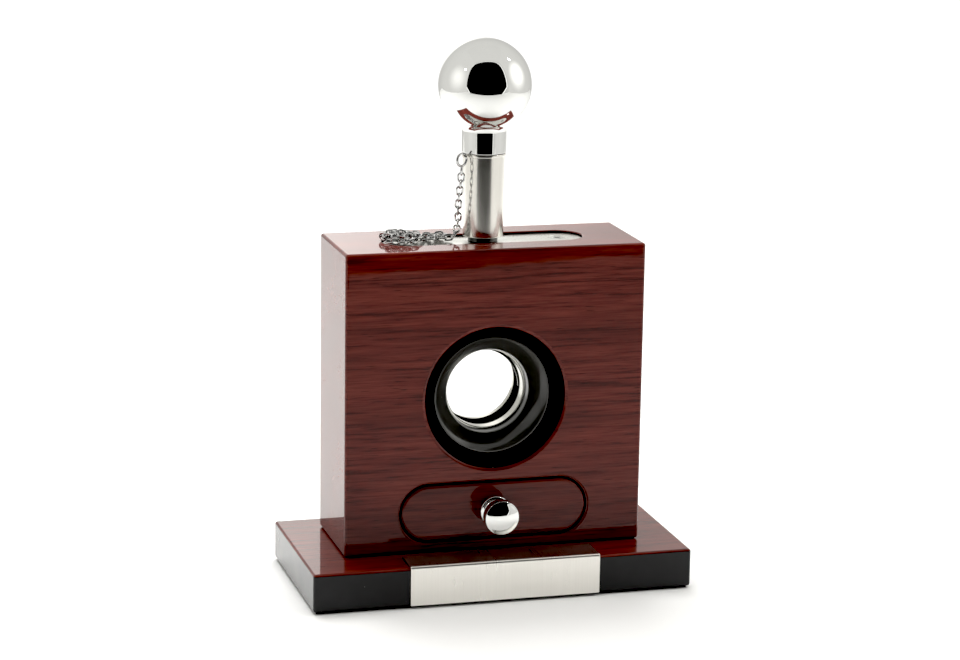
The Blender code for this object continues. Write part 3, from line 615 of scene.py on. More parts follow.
def chain_mesh(path, width_at_start, seed, wander):
    """Links along a path, each a quarter turn from the last, with a little wander."""
    chance = random.Random(seed)
    bm = bmesh.new()
    total = path_length(path)
    count = round(total / LINK_PITCH)
    pitch = total / count
    across = Vector(width_at_start)
    for k in range(count):
        centre, along = at_length(path, (k + 0.5) * pitch)
        across = (across - along * across.dot(along)).normalized()
        turn = math.radians(90.0 * (k % 2) + wander * chance.uniform(-1.0, 1.0))
        width = Matrix.Rotation(turn, 3, along) @ across
        lean = along + width * (wander / 90.0) * chance.uniform(-0.5, 0.5)
        add_link(bm, centre, lean.normalized(), width)
    return mesh_from(bm, "chain")


def build_chain():
    start = ear_point(RING_REACH, RING_Z - RING_R - RING_WIRE_R - 0.0001)
    laid = [(-0.0094, -0.0012, 0.0022), (-0.0103, -0.0008, 0.0005), (-0.0120, -0.0002, 0.0),
            (-0.0143, 0.0008, 0.0), (-0.0166, -0.0004, 0.0), (-0.0188, -0.0008, 0.0)]
    route = [start,
             start + Vector((-0.0002, 0.0001, -0.0045)),
             start + Vector((-0.0006, 0.0006, -0.0095)),
             start + Vector((-0.0007, 0.0012, -0.0140)),
             start + Vector((-0.0005, 0.0020, -0.0180))]
    route += [Vector((x, AXIS_Y + y, CHAIN_FLOOR + z)) for x, y, z in laid]
    path = smooth_path(route, 6)
    mesh = chain_mesh(path, (0.27, 0.96, 0.0), 3, 9.0)
    drop = make_piece("chain_hanging", mesh, [CHAIN_STEEL], None, "chain_drop", even=False)
    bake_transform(drop)

    heap = [(-18.8, -0.8, 0.0), (-21.2, -1.6, 0.0), (-24.3, -3.0, 0.0), (-27.6, -4.3, 0.0),
            (-31.0, -4.1, 0.1), (-33.0, -1.8, 0.2), (-31.0, 0.4, 0.0), (-28.0, -0.9, 0.0),
            (-25.0, 0.5, 0.0), (-21.6, 1.6, 0.0), (-17.6, 1.9, 0.0), (-13.9, 2.6, 0.1), (-12.2, 3.6, 0.2),
            (-13.8, 4.6, 0.0), (-17.4, 3.9, 0.0), (-21.3, 4.3, 0.1), (-23.4, 4.6, 0.0), (-26.4, 3.3, 0.0),
            (-29.4, 2.5, 0.2), (-31.9, 3.6, 0.6), (-33.2, 1.6, 1.0), (-30.6, 0.2, 1.3),
            (-28.6, -2.7, 1.3), (-26.0, -3.7, 1.3), (-25.3, -1.0, 1.4), (-27.1, 1.8, 1.5),
            (-29.1, 3.1, 1.6), (-30.5, 0.9, 1.9), (-29.8, -2.2, 1.7), (-31.6, -3.2, 1.4),
            (-32.6, -0.2, 1.7), (-29.7, 1.0, 2.2), (-26.9, -0.3, 2.1), (-23.8, -2.3, 1.3),
            (-21.6, -0.3, 1.2), (-22.6, 2.0, 1.3), (-24.2, 4.0, 1.1), (-23.6, 5.9, 0.5)]
    points = [Vector((x / 1000, AXIS_Y + y / 1000, CHAIN_FLOOR + z / 1000)) for x, y, z in heap]
    path = smooth_path(points, 5)
    mesh = chain_mesh(path, (0.0, 1.0, 0.2), 8, 24.0)
    pile = make_piece("chain_heap", mesh, [CHAIN_STEEL], "stand", "chain_pile", even=False)

    outline = rounded([(0.0, PLATE_LOW), (ANCHOR_R, PLATE_LOW), (ANCHOR_R, PLATE_TOP),
                       (0.0009, PLATE_TOP + 0.0001), (ANCHOR_R, PLATE_TOP + 0.0006),
                       (ANCHOR_R, PLATE_TOP + 0.0009), (0.0, PLATE_TOP + 0.0009)], 0.0001)
    shank = turned(outline, SMALL, "Z", (*ANCHOR_SPOT, 0.0))
    eye = turned(wire_section(EYE_R, EYE_WIRE_R, 12), SMALL, "Y", (*ANCHOR_SPOT, ANCHOR_EYE_Z))
    anchor = shaped(shank, [eye], "UNION")
    make_piece("anchor_eyelet", anchor, [CHAIN_STEEL], "stand", "chain_anchor", even=False)

    ring = turned(wire_section(RING_R, RING_WIRE_R + 0.0001, 14), 56)
    tangent = Vector((-math.cos(EAR_ANGLE), math.sin(EAR_ANGLE), 0.0))
    ring.transform(tangent.to_track_quat("Z", "Y").to_matrix().to_4x4())
    ring.transform(Matrix.Translation(ear_point(RING_REACH, RING_Z)))
    make_piece("first_ring", ring, [CHAIN_STEEL], "plunger", "jump_ring", even=False)


# ---- plinth ----
def build_plinth():
    mesh = block(BASE_LOW, BASE_HIGH, 0.0009, 5)
    top = BASE_TOP - 0.0006
    make_piece("plinth_body", mesh, [PLINTH_BLACK, PLINTH_WOOD], "stand", "base_plinth",
               lambda centre, normal: 1 if centre.z > top else 0)

    low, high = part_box("base_pad")
    make_piece("plinth_baize", block(low, high, 0.00018, 2), [BAIZE], "stand", "base_pad")


def build_corner_plate():
    """Brushed strip folded over the plinth's front edge, its fold and its cut edges rounded."""
    outer_y = BASE_LOW.y - GAP - CORNER_T
    outer_z = BASE_TOP + 0.00015 + CORNER_T
    inner_y = outer_y + CORNER_T
    inner_z = outer_z - CORNER_T
    fold = 0.0009
    back = BASE_LOW.y + CORNER_FLANGE
    nose = 0.00012
    section = [(outer_y, CORNER_LOW + nose)]
    for k in range(13):
        angle = math.radians(180.0 - 7.5 * k)
        section.append((outer_y + fold + fold * math.cos(angle), outer_z - fold + fold * math.sin(angle)))
    section += [(back - nose, outer_z), (back, outer_z - nose), (back, inner_z), (inner_y + 0.0002, inner_z),
                (inner_y, inner_z - 0.0002), (inner_y, CORNER_LOW), (outer_y + nose, CORNER_LOW)]
    bm = bmesh.new()
    loops = []
    steps = ((0.0, 0.00016), (0.00010, 0.00005), (0.00022, 0.0))
    stations = [(-CORNER_HALF_W + inset, shrink) for inset, shrink in steps]
    stations += [(CORNER_HALF_W - inset, shrink) for inset, shrink in reversed(steps)]
    for x, shrink in stations:
        loop = []
        for i, (y, z) in enumerate(section):
            before = Vector(section[i - 1])
            after = Vector(section[(i + 1) % len(section)])
            along = (after - before).normalized()
            inward = Vector((along.y, -along.x))
            loop.append(bm.verts.new((x, y + inward.x * shrink, z + inward.y * shrink)))
        loops.append(loop)
    skin(bm, loops)
    make_piece("corner_cap", mesh_from(bm, "corner"), [PLATE_STEEL], "stand",
               "corner_plate")


# ---- tower ----
def build_tower():
    over = 0.0005
    soft = 0.0006             # rounding of the mouth's edge on the wood
    chamfer = MOUTH_R - BORE_R
    front_edge = curved(Vector((MOUTH_R + soft, 0.0)), Vector((MOUTH_R, 0.0)),
                        Vector((MOUTH_R - soft * 0.7, soft * 0.7)), 6)
    half = [(0.0, -over), (MOUTH_R + soft, -over)] + front_edge + [(BORE_R, chamfer)]
    throat = half + [(r, TOWER_DEPTH - d) for r, d in reversed(half)]
    cuts = [turned(throat, FINE, "Y", (0.0, TOWER_FRONT, HOLE_Z))]
    lip = 0.0004              # rounding of the pocket's edge
    pocket = [(0.0, TOWER_TOP - POCKET_DEPTH), (0.0, TOWER_TOP - lip)]
    pocket += [(inset, TOWER_TOP - lip + rise) for inset, rise in quarter(lip)[1:]]
    pocket.append((lip, TOWER_TOP + 0.002))
    cuts.append(stadium_loft(POCKET_HALF_L, POCKET_HALF_W, pocket, "Z", ROD_LINE))
    cuts.append(block((-SLOT_HALF_W, AXIS_Y - SLOT_HALF_D, SLOT_LOW),
                      (SLOT_HALF_W, AXIS_Y + SLOT_HALF_D, TOWER_TOP + 0.001)))
    brim = 0.0006             # rounding of the drawer opening's edge
    cavity = [(brim, -0.002), (brim, 0.0)]
    cavity += [(brim - inset, rise) for inset, rise in quarter(brim)[1:]]
    cavity.append((0.0, DRAWER_CAVITY))
    cuts.append(stadium_loft(DRAWER_HALF_L, DRAWER_HALF_H, cavity, "Y", (0.0, TOWER_FRONT, DRAWER_Z)))
    mesh = shaped(block(TOWER_LOW, TOWER_HIGH, 0.0010, 6), cuts)
    near = 0.0001             # slack for faces that lie on a cut's own walls

    def choose(centre, normal):
        out = Vector((centre.x, centre.z - HOLE_Z)).length
        depth = min(centre.y - TOWER_FRONT, TOWER_BACK - centre.y)
        # the mouth's rounded wood edge: the brighter wood, a painted highlight
        if out < MOUTH_R + soft and depth < soft * 0.72 and abs(normal.y) < 0.999:
            return 2
        if out < MOUTH_R and depth > soft * 0.5:
            return 1
        # The drawer cavity, the blade slot and the pocket's walls below the top also get the black: painted
        # shade in these recesses.
        x, y, z = abs(centre.x), abs(centre.y - AXIS_Y), centre.z
        below_top = z < TOWER_TOP - 0.0005
        in_slot = x < SLOT_HALF_W + near and y < SLOT_HALF_D + near and z > SLOT_LOW - near
        in_pocket = x < POCKET_HALF_L + near and y < POCKET_HALF_W + near and z > TOWER_TOP - 0.0040
        in_drawer = (x < DRAWER_HALF_L + near and abs(z - DRAWER_Z) < DRAWER_HALF_H + near
                     and 0.0007 < centre.y - TOWER_FRONT < DRAWER_CAVITY + near)
        return 1 if in_drawer or below_top and (in_slot or in_pocket) else 0

    make_piece("tower_body", mesh, [WOOD, THROAT_BLACK_AND_SHADE, MOUTH_EDGE_HIGHLIGHT], "stand", "tower_block",
               choose)


# ---- throat bezels ----
DISH_STEPS = 48
RIM_SOFT = 0.0006
SKIRT_R = 0.0150


def bezel_outline(lip_depth, skirt_depth):
    """Rim, a shallow dish that curves over, a steep turn down to the lip, and a skirt at the back."""
    rim = BEZEL_R - 0.0008
    run = [(0.0, 0.0)]
    for k in range(DISH_STEPS):
        t = (k + 0.5) / DISH_STEPS
        dish = 33.0 + 13.0 * min(1.0, t / 0.30) + 4.0 * t
        turn = max(0.0, (t - 0.70) / 0.12)
        slope = math.radians(dish + (84.0 - dish) * min(1.0, turn))
        run.append((run[-1][0] + math.cos(slope), run[-1][1] + math.sin(slope)))
    scale_r = (rim - LIP_R - 0.00012) / run[-1][0]
    scale_d = (lip_depth - BEZEL_SET_BACK) / run[-1][1]
    points = [(BEZEL_R - inset, BEZEL_SET_BACK + RIM_SOFT - rise) for inset, rise in quarter(RIM_SOFT, 6)]
    points += [(rim - r * scale_r, BEZEL_SET_BACK + d * scale_d) for r, d in run]
    back = lip_depth + 0.00075
    points += [(LIP_R + 0.00003, lip_depth + 0.00015), (LIP_R, lip_depth + 0.00035), (LIP_R, back),
               (SKIRT_R, back), (SKIRT_R, skirt_depth), (BEZEL_R, skirt_depth)]
    return points


def build_bezels():
    skirt = TOWER_DEPTH / 2 - SLOT_HALF_D - 0.0002
    centre = (0.0, TOWER_FRONT, HOLE_Z)
    front = turned(bezel_outline(FRONT_LIP_DEPTH, skirt), FINE, "Y", centre)
    make_piece("throat_bezel_front", front, [BEZEL_BLACK], "stand", "front_bezel")
    rear_outline = [(r, TOWER_DEPTH - d) for r, d in bezel_outline(REAR_LIP_DEPTH, skirt)]
    rear = turned(rear_outline, FINE, "Y", centre)
    make_piece("throat_bezel_rear", rear, [BEZEL_BLACK], "stand", "rear_bezel")


# ---- blade cassette ----
RIVET_R = 0.0008
COLLAR_WALL = 0.0016
COLLAR_GAP = 0.0009           # from the edge of a bezel's lip back to the guard's collar
REAR_RELIEF = 0.0036          # depth of the wider bore beside the blade
RELIEF_GROWTH = 0.0011
RAIL_X = (BLADE_HALF_W + 0.0003 + PLATE_HALF_W) / 2
RIVETS = [(side * RAIL_X, z) for side in (-1, 1) for z in (CASSETTE_HIGH - 0.004, CASSETTE_LOW + 0.004)]


def guard_mesh(near, far, collar_end, relief):
    """A guard plate with a collar towards the bezel. relief is the depth of a wider bore beside the blade."""
    low_y, high_y = min(near, far), max(near, far)
    plate = block((-PLATE_HALF_W, low_y, CASSETTE_LOW), (PLATE_HALF_W, high_y, CASSETTE_HIGH), 0.00015, 2)
    inside = (near + far) / 2
    low, high = min(inside, collar_end), max(inside, collar_end)
    collar = rod(HOLE_R + COLLAR_WALL, low, high, FINE, "Y", THROAT_LINE)
    joined = shaped(plate, [collar], "UNION")
    soft = 0.0002
    start, end = min(low_y, collar_end), max(high_y, collar_end)
    wide = HOLE_R + RELIEF_GROWTH
    bore = [(0.0, start - 0.001)]
    if relief > 0.0:
        bore += [(wide, start - 0.001), (wide, start + relief), (HOLE_R + soft, start + relief),
                 (HOLE_R, start + relief + soft)]
    else:
        bore += [(HOLE_R + soft, start - 0.001), (HOLE_R + soft, start), (HOLE_R, start + soft)]
    bore += [(HOLE_R, end - soft), (HOLE_R + soft, end), (HOLE_R + soft, end + 0.001), (0.0, end + 0.001)]
    tools = [turned(bore, FINE, "Y", THROAT_LINE)]
    tools += [rod(RIVET_R + 0.0001, -0.006, 0.006, 20, "Y", (x, AXIS_Y, z)) for x, z in RIVETS]
    return shaped(joined, tools)


def build_cassette():
    face = AXIS_Y - BLADE_GAP / 2
    mesh = guard_mesh(face, face - PLATE_T, TOWER_FRONT + FRONT_LIP_DEPTH + COLLAR_GAP, 0.0)
    make_piece("guard_front", mesh, [GUARD_STEEL], "stand", "front_guard")
    face = AXIS_Y + BLADE_GAP / 2
    mesh = guard_mesh(face, face + PLATE_T, TOWER_BACK - REAR_LIP_DEPTH - COLLAR_GAP, REAR_RELIEF)

    # The relief bore and the plate face round the hole get the black: painted shade in the gap beside the
    # blade.
    def choose(centre, normal):
        out = Vector((centre.x, centre.z - HOLE_Z)).length
        return 1 if out < HOLE_R + 0.0013 and centre.y < face + REAR_RELIEF + 0.0001 else 0

    make_piece("guard_rear", mesh, [GUARD_STEEL, THROAT_BLACK_AND_SHADE], "stand", "rear_guard",
               choose)

    half = BLADE_T / 2
    plate = block((-BLADE_HALF_W, AXIS_Y - half, NOTCH_Z), (BLADE_HALF_W, AXIS_Y + half, BLADE_TOP),
                  0.0001, 1)
    edge_r = HOLE_R + 0.0001
    bevel_r = edge_r + 0.0016
    notch = [(0.0, -half - 0.001), (bevel_r, -half - 0.001), (bevel_r, -half), (edge_r, half - 0.0003),
             (edge_r, half + 0.001), (0.0, half + 0.001)]
    mesh = shaped(plate, [turned(notch, FINE, "Y", (0.0, AXIS_Y, NOTCH_Z))])
    make_piece("cutting_blade", mesh, [BLADE_STEEL], "plunger", "blade")


# ---- top plate, guide and plunger ----
BUSH_HOLE_R = 0.00405
SCREW_HOLE_R = 0.0017
SINK_R = 0.0034               # countersink, a little above the plate's top
SINK_DEPTH = 0.0016
ANCHOR_HOLE_R = 0.0007
PLATE_EASE = 0.00025          # the plate is this much smaller than its pocket all round
SCREW_SHANK_R = 0.00135


def build_top_plate():
    rise = quarter(0.0002, 3)
    sections = [(-0.0002, PLATE_LOW)] + [(-inset, PLATE_TOP - 0.0002 + up) for inset, up in rise]
    plate = stadium_loft(POCKET_HALF_L - PLATE_EASE, POCKET_HALF_W - PLATE_EASE, sections, "Z",
                         ROD_LINE)
    low, high = PLATE_LOW - 0.001, PLATE_TOP + 0.001
    tools = [rod(BUSH_HOLE_R, low, high, 64, "Z", ROD_LINE)]
    for side in (-1, 1):
        outline = [(0.0, low), (SCREW_HOLE_R, low), (SCREW_HOLE_R, PLATE_TOP - SINK_DEPTH),
                   (SINK_R, PLATE_TOP + 0.0005), (0.0, PLATE_TOP + 0.0005)]
        tools.append(turned(outline, 64, "Z", (side * TOP_SCREW_X, AXIS_Y, 0.0)))
    tools.append(rod(ANCHOR_HOLE_R, low, high, 24, "Z", (*ANCHOR_SPOT, 0.0)))
    make_piece("top_cover", shaped(plate, tools), [TOP_STEEL], "stand", "top_plate")

    for side, word in ((-1, "left"), (1, "right")):
        head = PLATE_TOP - 0.0001
        outline = [(0.0, head - 0.0120), (SCREW_SHANK_R, head - 0.0105),
                   (SCREW_SHANK_R, head - SINK_DEPTH + 0.0001),
                   (0.0027, head - 0.00015), (0.0026, head), (0.0, head)]
        centre = (side * TOP_SCREW_X, AXIS_Y, 0.0)
        turn = Matrix.Translation(centre) @ Matrix.Rotation(math.radians(24.0 * side), 4, "Z")
        slots = []
        for half_x, half_y in ((0.0015, 0.00025), (0.00025, 0.0015)):
            slot = block((-half_x, -half_y, head - 0.0009), (half_x, half_y, head + 0.001))
            slot.transform(turn)
            slots.append(slot)
        screw = shaped(turned(rounded(outline, 0.00012), 56, "Z", centre), slots)
        make_piece(f"cover_screw_{word}", screw, [ZINC], "stand", f"top_screw_{word}")


def build_guide():
    bore_r, plug_r, spigot_r = ROD_R + 0.0001, BUSH_HOLE_R - 0.00015, TUBE_BORE_R - 0.00015
    shoulder = PLATE_TOP + 0.00025
    bush = rounded([(bore_r, PLATE_LOW), (plug_r, PLATE_LOW), (plug_r, shoulder, 0.0), (NECK_R, shoulder),
                    (NECK_R, TUBE_LOW), (spigot_r, TUBE_LOW + 0.0001), (spigot_r, SPRING_SEAT),
                    (bore_r, SPRING_SEAT)], 0.0001)
    make_piece("guide_neck", turned(bush, 96, "Z", ROD_LINE), [BEZEL_BLACK], "stand",
               "guide_bush")
    tube = rounded([(TUBE_BORE_R, TUBE_LOW), (TUBE_R, TUBE_LOW), (TUBE_R, TUBE_HIGH),
                    (TUBE_BORE_R, TUBE_HIGH)], 0.00032, 5)
    make_piece("guide_sleeve", turned(tube, FINE, "Z", ROD_LINE), [NICKEL], "stand",
               "guide_tube")


def build_spring():
    """The coil round the rod, built once at its resting length."""
    low = SPRING_SEAT + SPRING_WIRE_R + 0.0001
    high = KNOB_BORE_TOP - SPRING_WIRE_R - 0.0002
    steps = SPRING_TURNS * 28
    bm = bmesh.new()
    rings = []
    for k in range(steps + 1):
        angle = 2 * math.pi * SPRING_TURNS * k / steps
        out = Vector((math.cos(angle), math.sin(angle), 0.0))
        middle = out * SPRING_R + Vector((0.0, AXIS_Y, low + (high - low) * k / steps))
        rings.append(wire_ring(bm, middle, out, Vector((0.0, 0.0, 1.0)), SPRING_WIRE_R))
    wire_skin(bm, rings)
    bm.faces.new(rings[0])
    bm.faces.new(rings[-1])
    coil = make_piece("coil_spring", mesh_from(bm, "coil"), [SPRING_STEEL], None,
                      "return_spring", even=False)
    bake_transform(coil)


def build_knob():
    """Ball and ferrule in one turned piece, joined by a hollow curve and bored from below."""
    fillet = 0.0030
    thread_r, thread_top = 0.00165, KNOB_BORE_TOP + 0.0040
    join_r = FERRULE_R + fillet
    rise = math.sqrt((BALL_R + fillet) ** 2 - join_r ** 2)
    fillet_z = BALL_Z - rise
    outline = [(KNOB_BORE_R, FERRULE_LOW + 0.00006), (KNOB_BORE_R + 0.00006, FERRULE_LOW),
               (FERRULE_R - 0.00025, FERRULE_LOW), (FERRULE_R - 0.00008, FERRULE_LOW + 0.00008),
               (FERRULE_R, FERRULE_LOW + 0.00025)]
    contact = math.atan2(rise, join_r)
    for k in range(13):
        angle = math.pi - contact * k / 12
        outline.append((join_r + fillet * math.cos(angle), fillet_z + fillet * math.sin(angle)))
    start = -contact
    rings = 48
    for k in range(1, rings):
        angle = start + (math.pi / 2 - start) * k / rings
        outline.append((BALL_R * math.cos(angle), BALL_Z + BALL_R * math.sin(angle)))
    outline += [(0.0, BALL_Z + BALL_R), (0.0, thread_top), (thread_r, thread_top),
                (thread_r, KNOB_BORE_TOP), (KNOB_BORE_R, KNOB_BORE_TOP)]
    make_piece("ball_handle", turned(outline, FINE, "Z", ROD_LINE), [CHROME], "plunger",
               "ball_knob")


def build_collar():
    half_height, ear_r, ear_hole_r = 0.00045, 0.0012, 0.00068
    low, high = COLLAR_MID - half_height, COLLAR_MID + half_height
    outer = FERRULE_R - 0.0001
    section = rounded([(KNOB_BORE_R, low), (outer, low), (outer, high), (KNOB_BORE_R, high)], 0.00012)
    ring = turned(section, FINE, "Z", ROD_LINE)
    spot = ear_point(EAR_REACH, 0.0)
    step = 0.0001
    ear = rounded([(0.0, low + step), (ear_r, low + step), (ear_r, high - step), (0.0, high - step)], step)
    joined = shaped(ring, [turned(ear, SMALL, "Z", spot)], "UNION")
    mesh = shaped(joined, [rod(ear_hole_r, low - 0.001, high + 0.001, SMALL, "Z", spot)])
    make_piece("collar_with_ear", mesh, [NICKEL], "plunger", "chain_collar")


# ---- drawer ----
PULL_HOLE_R = 0.0014


def build_drawer():
    origin = (0.0, TOWER_FRONT, DRAWER_Z)
    soft = 0.0009
    sections = [(-soft, 0.0)]
    sections += [(-inset, soft - rise) for inset, rise in reversed(quarter(soft, 6)[:-1])]
    sections += [(0.0, DRAWER_FRONT_T - 0.0003), (-0.0003, DRAWER_FRONT_T)]
    front = stadium_loft(DRAWER_HALF_L - DRAWER_GAP, DRAWER_HALF_H - DRAWER_GAP, sections, "Y", origin)
    front = shaped(front, [rod(PULL_HOLE_R, -0.002, 0.012, SMALL, "Y", origin)])
    make_piece("drawer_face", front, [DRAWER_WOOD], "drawer", "drawer_front")

    near = TOWER_FRONT + DRAWER_FRONT_T + GAP
    far = near + TRAY_LENGTH
    tray = block((-TRAY_HALF_W, near, TRAY_LOW), (TRAY_HALF_W, far, TRAY_HIGH), 0.0003, 3)
    hollow = block((-TRAY_HALF_W + TRAY_WALL, near + TRAY_WALL, TRAY_LOW + TRAY_WALL),
                   (TRAY_HALF_W - TRAY_WALL, far - TRAY_WALL, TRAY_HIGH + 0.004), 0.0008, 4)
    tray = shaped(tray, [hollow, rod(PULL_HOLE_R, -0.002, 0.012, SMALL, "Y", origin)])
    make_piece("clippings_tray", tray, [TRAY_BLACK], "drawer", "drawer_tray")
    low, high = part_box("drawer_liner")
    make_piece("tray_felt", block(low, high, 0.0003, 2), [LINER_FELT], "drawer", "drawer_liner")

    head, neck, foot = 0.0056, 0.0040, 0.0051
    head_back, neck_near, neck_far, foot_near = -0.0067, -0.0064, -0.0027, -0.0024
    thread_end = -0.0046
    brow = head - 0.0003
    rest = KNOB_DOME_R - math.sqrt(KNOB_DOME_R ** 2 - brow ** 2)
    outline = []
    for k in range(15):
        radius = brow * k / 14
        sag = KNOB_DOME_R - math.sqrt(KNOB_DOME_R ** 2 - radius ** 2)
        outline.append((radius, -KNOB_REACH - rest + sag, 0.0))
    outline += [(head, -KNOB_REACH + 0.0001, 0.0002), (head, head_back, 0.0003), (neck, neck_near, 0.0004),
                (neck, neck_far, 0.0004), (foot, foot_near, 0.0004), (foot, -GAP, 0.0003),
                (SCREW_SHANK_R, -GAP, 0.0), (SCREW_SHANK_R, thread_end, 0.0), (0.0, thread_end, 0.0)]
    make_piece("drawer_pull", turned(rounded(outline, 0.0, 6), 96, "Y", origin), [CHROME], "drawer",
               "drawer_knob")


# ---- carried-over CAD nodes ----
CARRIED = ((ZINC, ("base_screw_left", "base_screw_right", "blade_pin_left", "blade_pin_right", "knob_screw",
                   "cassette_rivet_upper_left", "cassette_rivet_upper_right",
                   "cassette_rivet_lower_left", "cassette_rivet_lower_right")),
           (GUARD_STEEL, ("guide_rail_left", "guide_rail_right", "blade_holder")),
           (BLADE_STEEL, ("push_rod",)))


def dress_nodes():
    for material, names in CARRIED:
        for name in names:
            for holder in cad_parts[name].material_slots:
                holder.material = material


# ---- studio ----
TENT_TURN = math.radians(-8.35)
TENT_FRONT = 0.4975
TENT_SIDE = 0.64
TENT_BACK = 0.72
TENT_TOP = 1.38
MOUTH_SHIFT = -0.058                 # the opening's middle, along the wall
MOUTH_HALF = 0.585
MOUTH_TOP = 1.20
MOUTH_SHOULDER = 0.76                # where the sides of the opening start to lean in
MOUTH_CROWN = 0.32                   # half width of the flat top
MOUTH_CUT = 0.17                     # size of the cut lower corners
SEAM = 0.032                         # pale binding round the opening
LAMP_R = 0.022
FLOOR_REACH = 6.0
BLACK_LEVEL = 0.019                  # the darkest tones close up to black
WARM_WHITE = (1.0, 0.99, 0.955, 1.0)
WORLD_STRENGTH = 1.4
WALL_GLOW = 0.84                     # the back and the two sides
TOP_GLOW = 0.82
FRONT_GLOW = 0.74
BINDING_GLOW = 1.7
ROOM_GLOW = 0.008                    # the dark room beyond the opening
LAYER = 0.002                        # from the wall to the binding, and on to the opening
# spots: centre, radius, extra strength; lamps: name, place, strength
# soft lights: name, place, aim, size, power
BACK_SPOT = ((-0.05, TENT_BACK, 0.27), 0.25, 1.3)
LEFT_SPOT = ((-TENT_SIDE, -0.10, 0.35), 0.40, 0.5)
RIGHT_SPOT = ((TENT_SIDE, -0.05, 0.40), 0.40, 1.2)
LAMPS = (("lamp_right", (0.43, -0.02, 0.61), 110.0), ("lamp_left", (-0.48, -0.12, 0.52), 25.0))
SOFT_LIGHTS = (("overhead", (-0.02, 0.10, 0.85), (0.0, 0.05, 0.0), 0.6, 3.2),
               ("behind", (-0.06, 0.42, 0.80), (-0.06, 0.40, 0.0), 0.45, 4.2))
FLOOR_TONES = ((0.93, 0.93, 0.92), (0.85, 0.85, 0.85))


def glow_material(name, strength, spot=None):
    """A glowing wall or lamp. spot is a brighter patch: (centre, radius, extra strength), in metres."""
    material = bpy.data.materials.new(name)
    material.use_nodes = True
    tree = material.node_tree
    tree.nodes.clear()
    out = tree.nodes.new("ShaderNodeOutputMaterial")
    glow = tree.nodes.new("ShaderNodeEmission")
    glow.inputs["Color"].default_value = WARM_WHITE
    glow.inputs["Strength"].default_value = strength
    tree.links.new(glow.outputs[0], out.inputs["Surface"])
    if spot is not None:
        centre, radius, extra = spot
        where = tree.nodes.new("ShaderNodeTexCoord")
        away = tree.nodes.new("ShaderNodeVectorMath")
        away.operation = "DISTANCE"
        away.inputs[1].default_value = centre
        tree.links.new(where.outputs["Object"], away.inputs[0])
        fall = tree.nodes.new("ShaderNodeMapRange")
        fall.interpolation_type = "SMOOTHSTEP"
        fall.inputs["From Min"].default_value = 0.0
        fall.inputs["From Max"].default_value = radius
        fall.inputs["To Min"].default_value = strength + extra
        fall.inputs["To Max"].default_value = strength
        tree.links.new(away.outputs["Value"], fall.inputs["Value"])
        tree.links.new(fall.outputs["Result"], glow.inputs["Strength"])
    return material


def stage_object(name, bm, material):
    """Add a mesh that belongs to the studio and not to the object."""
    mesh = bpy.data.meshes.new(name)
    bm.to_mesh(mesh)
    bm.free()
    mesh.materials.append(material)
    thing = added(name, mesh)
    return thing


def flat_face(corners):
    bm = bmesh.new()
    bm.faces.new([bm.verts.new(corner) for corner in corners])
    return bm


def tent_wall(name, corners, material):
    """A flat wall seen by light and reflections, and never by the camera."""
    wall = stage_object(name, flat_face(corners), material)
    wall.matrix_world = Matrix.Rotation(TENT_TURN, 4, "Z")
    wall.visible_camera = False


def upright(first, second):
    """Corners of a wall from the floor to the tent's top, over the line between two floor points."""
    return [(*first, 0.0), (*second, 0.0), (*second, TENT_TOP), (*first, TENT_TOP)]


def mouth_corners(grow, depth):
    """Outline of the tent's opening: cut lower corners, straight sides and a rounded top."""
    half, top = MOUTH_HALF + grow, MOUTH_TOP + grow
    side = [(half - MOUTH_CUT, 0.0), (half, MOUTH_CUT)]
    start, corner, end = Vector((half, MOUTH_SHOULDER)), Vector((half, top)), Vector((MOUTH_CROWN, top))
    side += curved(start, corner, end, 12)
    outline = side + [(-x, z) for x, z in reversed(side)]
    return [(MOUTH_SHIFT + x, -depth, z) for x, z in outline]


def tent_lamp(name, place, strength):
    """A small bright lamp, which gives edges and curved metal their points of light."""
    bm = bmesh.new()
    bmesh.ops.create_icosphere(bm, subdivisions=3, radius=LAMP_R)
    lamp = stage_object(name, bm, glow_material(name + "_glow", strength))
    lamp.location = place
    lamp.visible_camera = False


def soft_light(name, place, aim, size, power):
    """A large soft light that lights surfaces but isn't mirrored in them."""
    data = bpy.data.lights.new(name, "AREA")
    data.shape = "SQUARE"
    data.size = size
    data.energy = power
    light = added(name, data)
    light.location = place
    light.rotation_euler = (Vector(aim) - Vector(place)).to_track_quat("-Z", "Y").to_euler()
    light.visible_glossy = False
    light.visible_camera = False


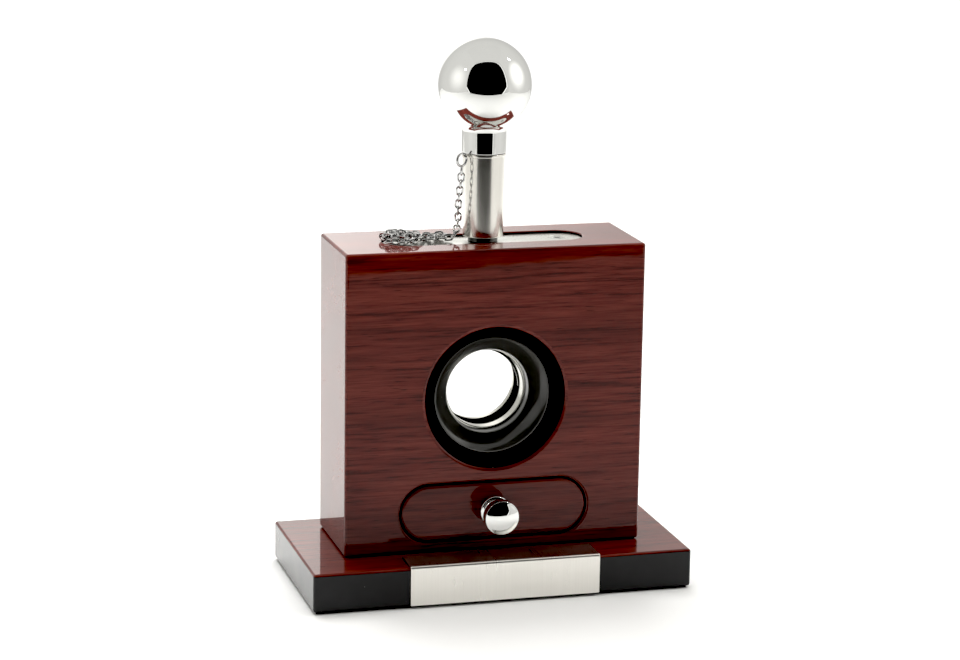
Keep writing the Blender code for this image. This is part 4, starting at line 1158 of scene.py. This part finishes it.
def build_world():
    """Even light from all round, and the view's black level."""
    scene = bpy.context.scene
    world = bpy.data.worlds.new("world")
    scene.world = world
    world.use_nodes = True
    background = world.node_tree.nodes["Background"]
    background.inputs["Color"].default_value = (1.0, 1.0, 1.0, 1.0)
    background.inputs["Strength"].default_value = WORLD_STRENGTH
    view = scene.view_settings
    view.view_transform = "Standard"
    view.use_curve_mapping = True
    view.curve_mapping.black_level = (BLACK_LEVEL, BLACK_LEVEL, BLACK_LEVEL)
    view.curve_mapping.update()


def build_tent():
    side, front, back, top = TENT_SIDE, TENT_FRONT, TENT_BACK, TENT_TOP
    roof = [(-side, -front, top), (side, -front, top), (side, back, top), (-side, back, top)]
    walls = (("back", upright((-side, back), (side, back)), WALL_GLOW, BACK_SPOT),
             ("left", upright((-side, -front), (-side, back)), WALL_GLOW, LEFT_SPOT),
             ("right", upright((side, -front), (side, back)), WALL_GLOW, RIGHT_SPOT),
             ("top", roof, TOP_GLOW, None),
             ("front", upright((-side, -front), (side, -front)), FRONT_GLOW, None),
             ("binding", mouth_corners(SEAM, front - LAYER), BINDING_GLOW, None),
             ("mouth", mouth_corners(0.0, front - 2 * LAYER), ROOM_GLOW, None))
    for word, corners, strength, spot in walls:
        tent_wall("tent_" + word, corners, glow_material(f"tent_{word}_glow", strength, spot))
    for name, place, strength in LAMPS:
        tent_lamp(name, place, strength)
    for name, place, aim, size, power in SOFT_LIGHTS:
        soft_light(name, place, aim, size, power)


def build_floor():
    finish = Finish("pale_floor")
    grain = finish.noise(40.0, 2.0, 0.5)
    finish.set(Base_Color=finish.mix(finish.spread(grain, 0.0, 0.04), *FLOOR_TONES), Roughness=0.9,
               Specular_IOR_Level=0.1)
    reach = FLOOR_REACH
    corners = [(-reach, -reach, 0.0), (reach, -reach, 0.0), (reach, reach, 0.0), (-reach, reach, 0.0)]
    stage_object("floor", flat_face(corners), finish.material)


make_camera()
build_chain()
build_plinth()
build_corner_plate()
build_tower()
build_bezels()
build_cassette()
build_top_plate()
build_guide()
build_spring()
build_knob()
build_collar()
build_drawer()
dress_nodes()
build_world()
build_tent()
build_floor()
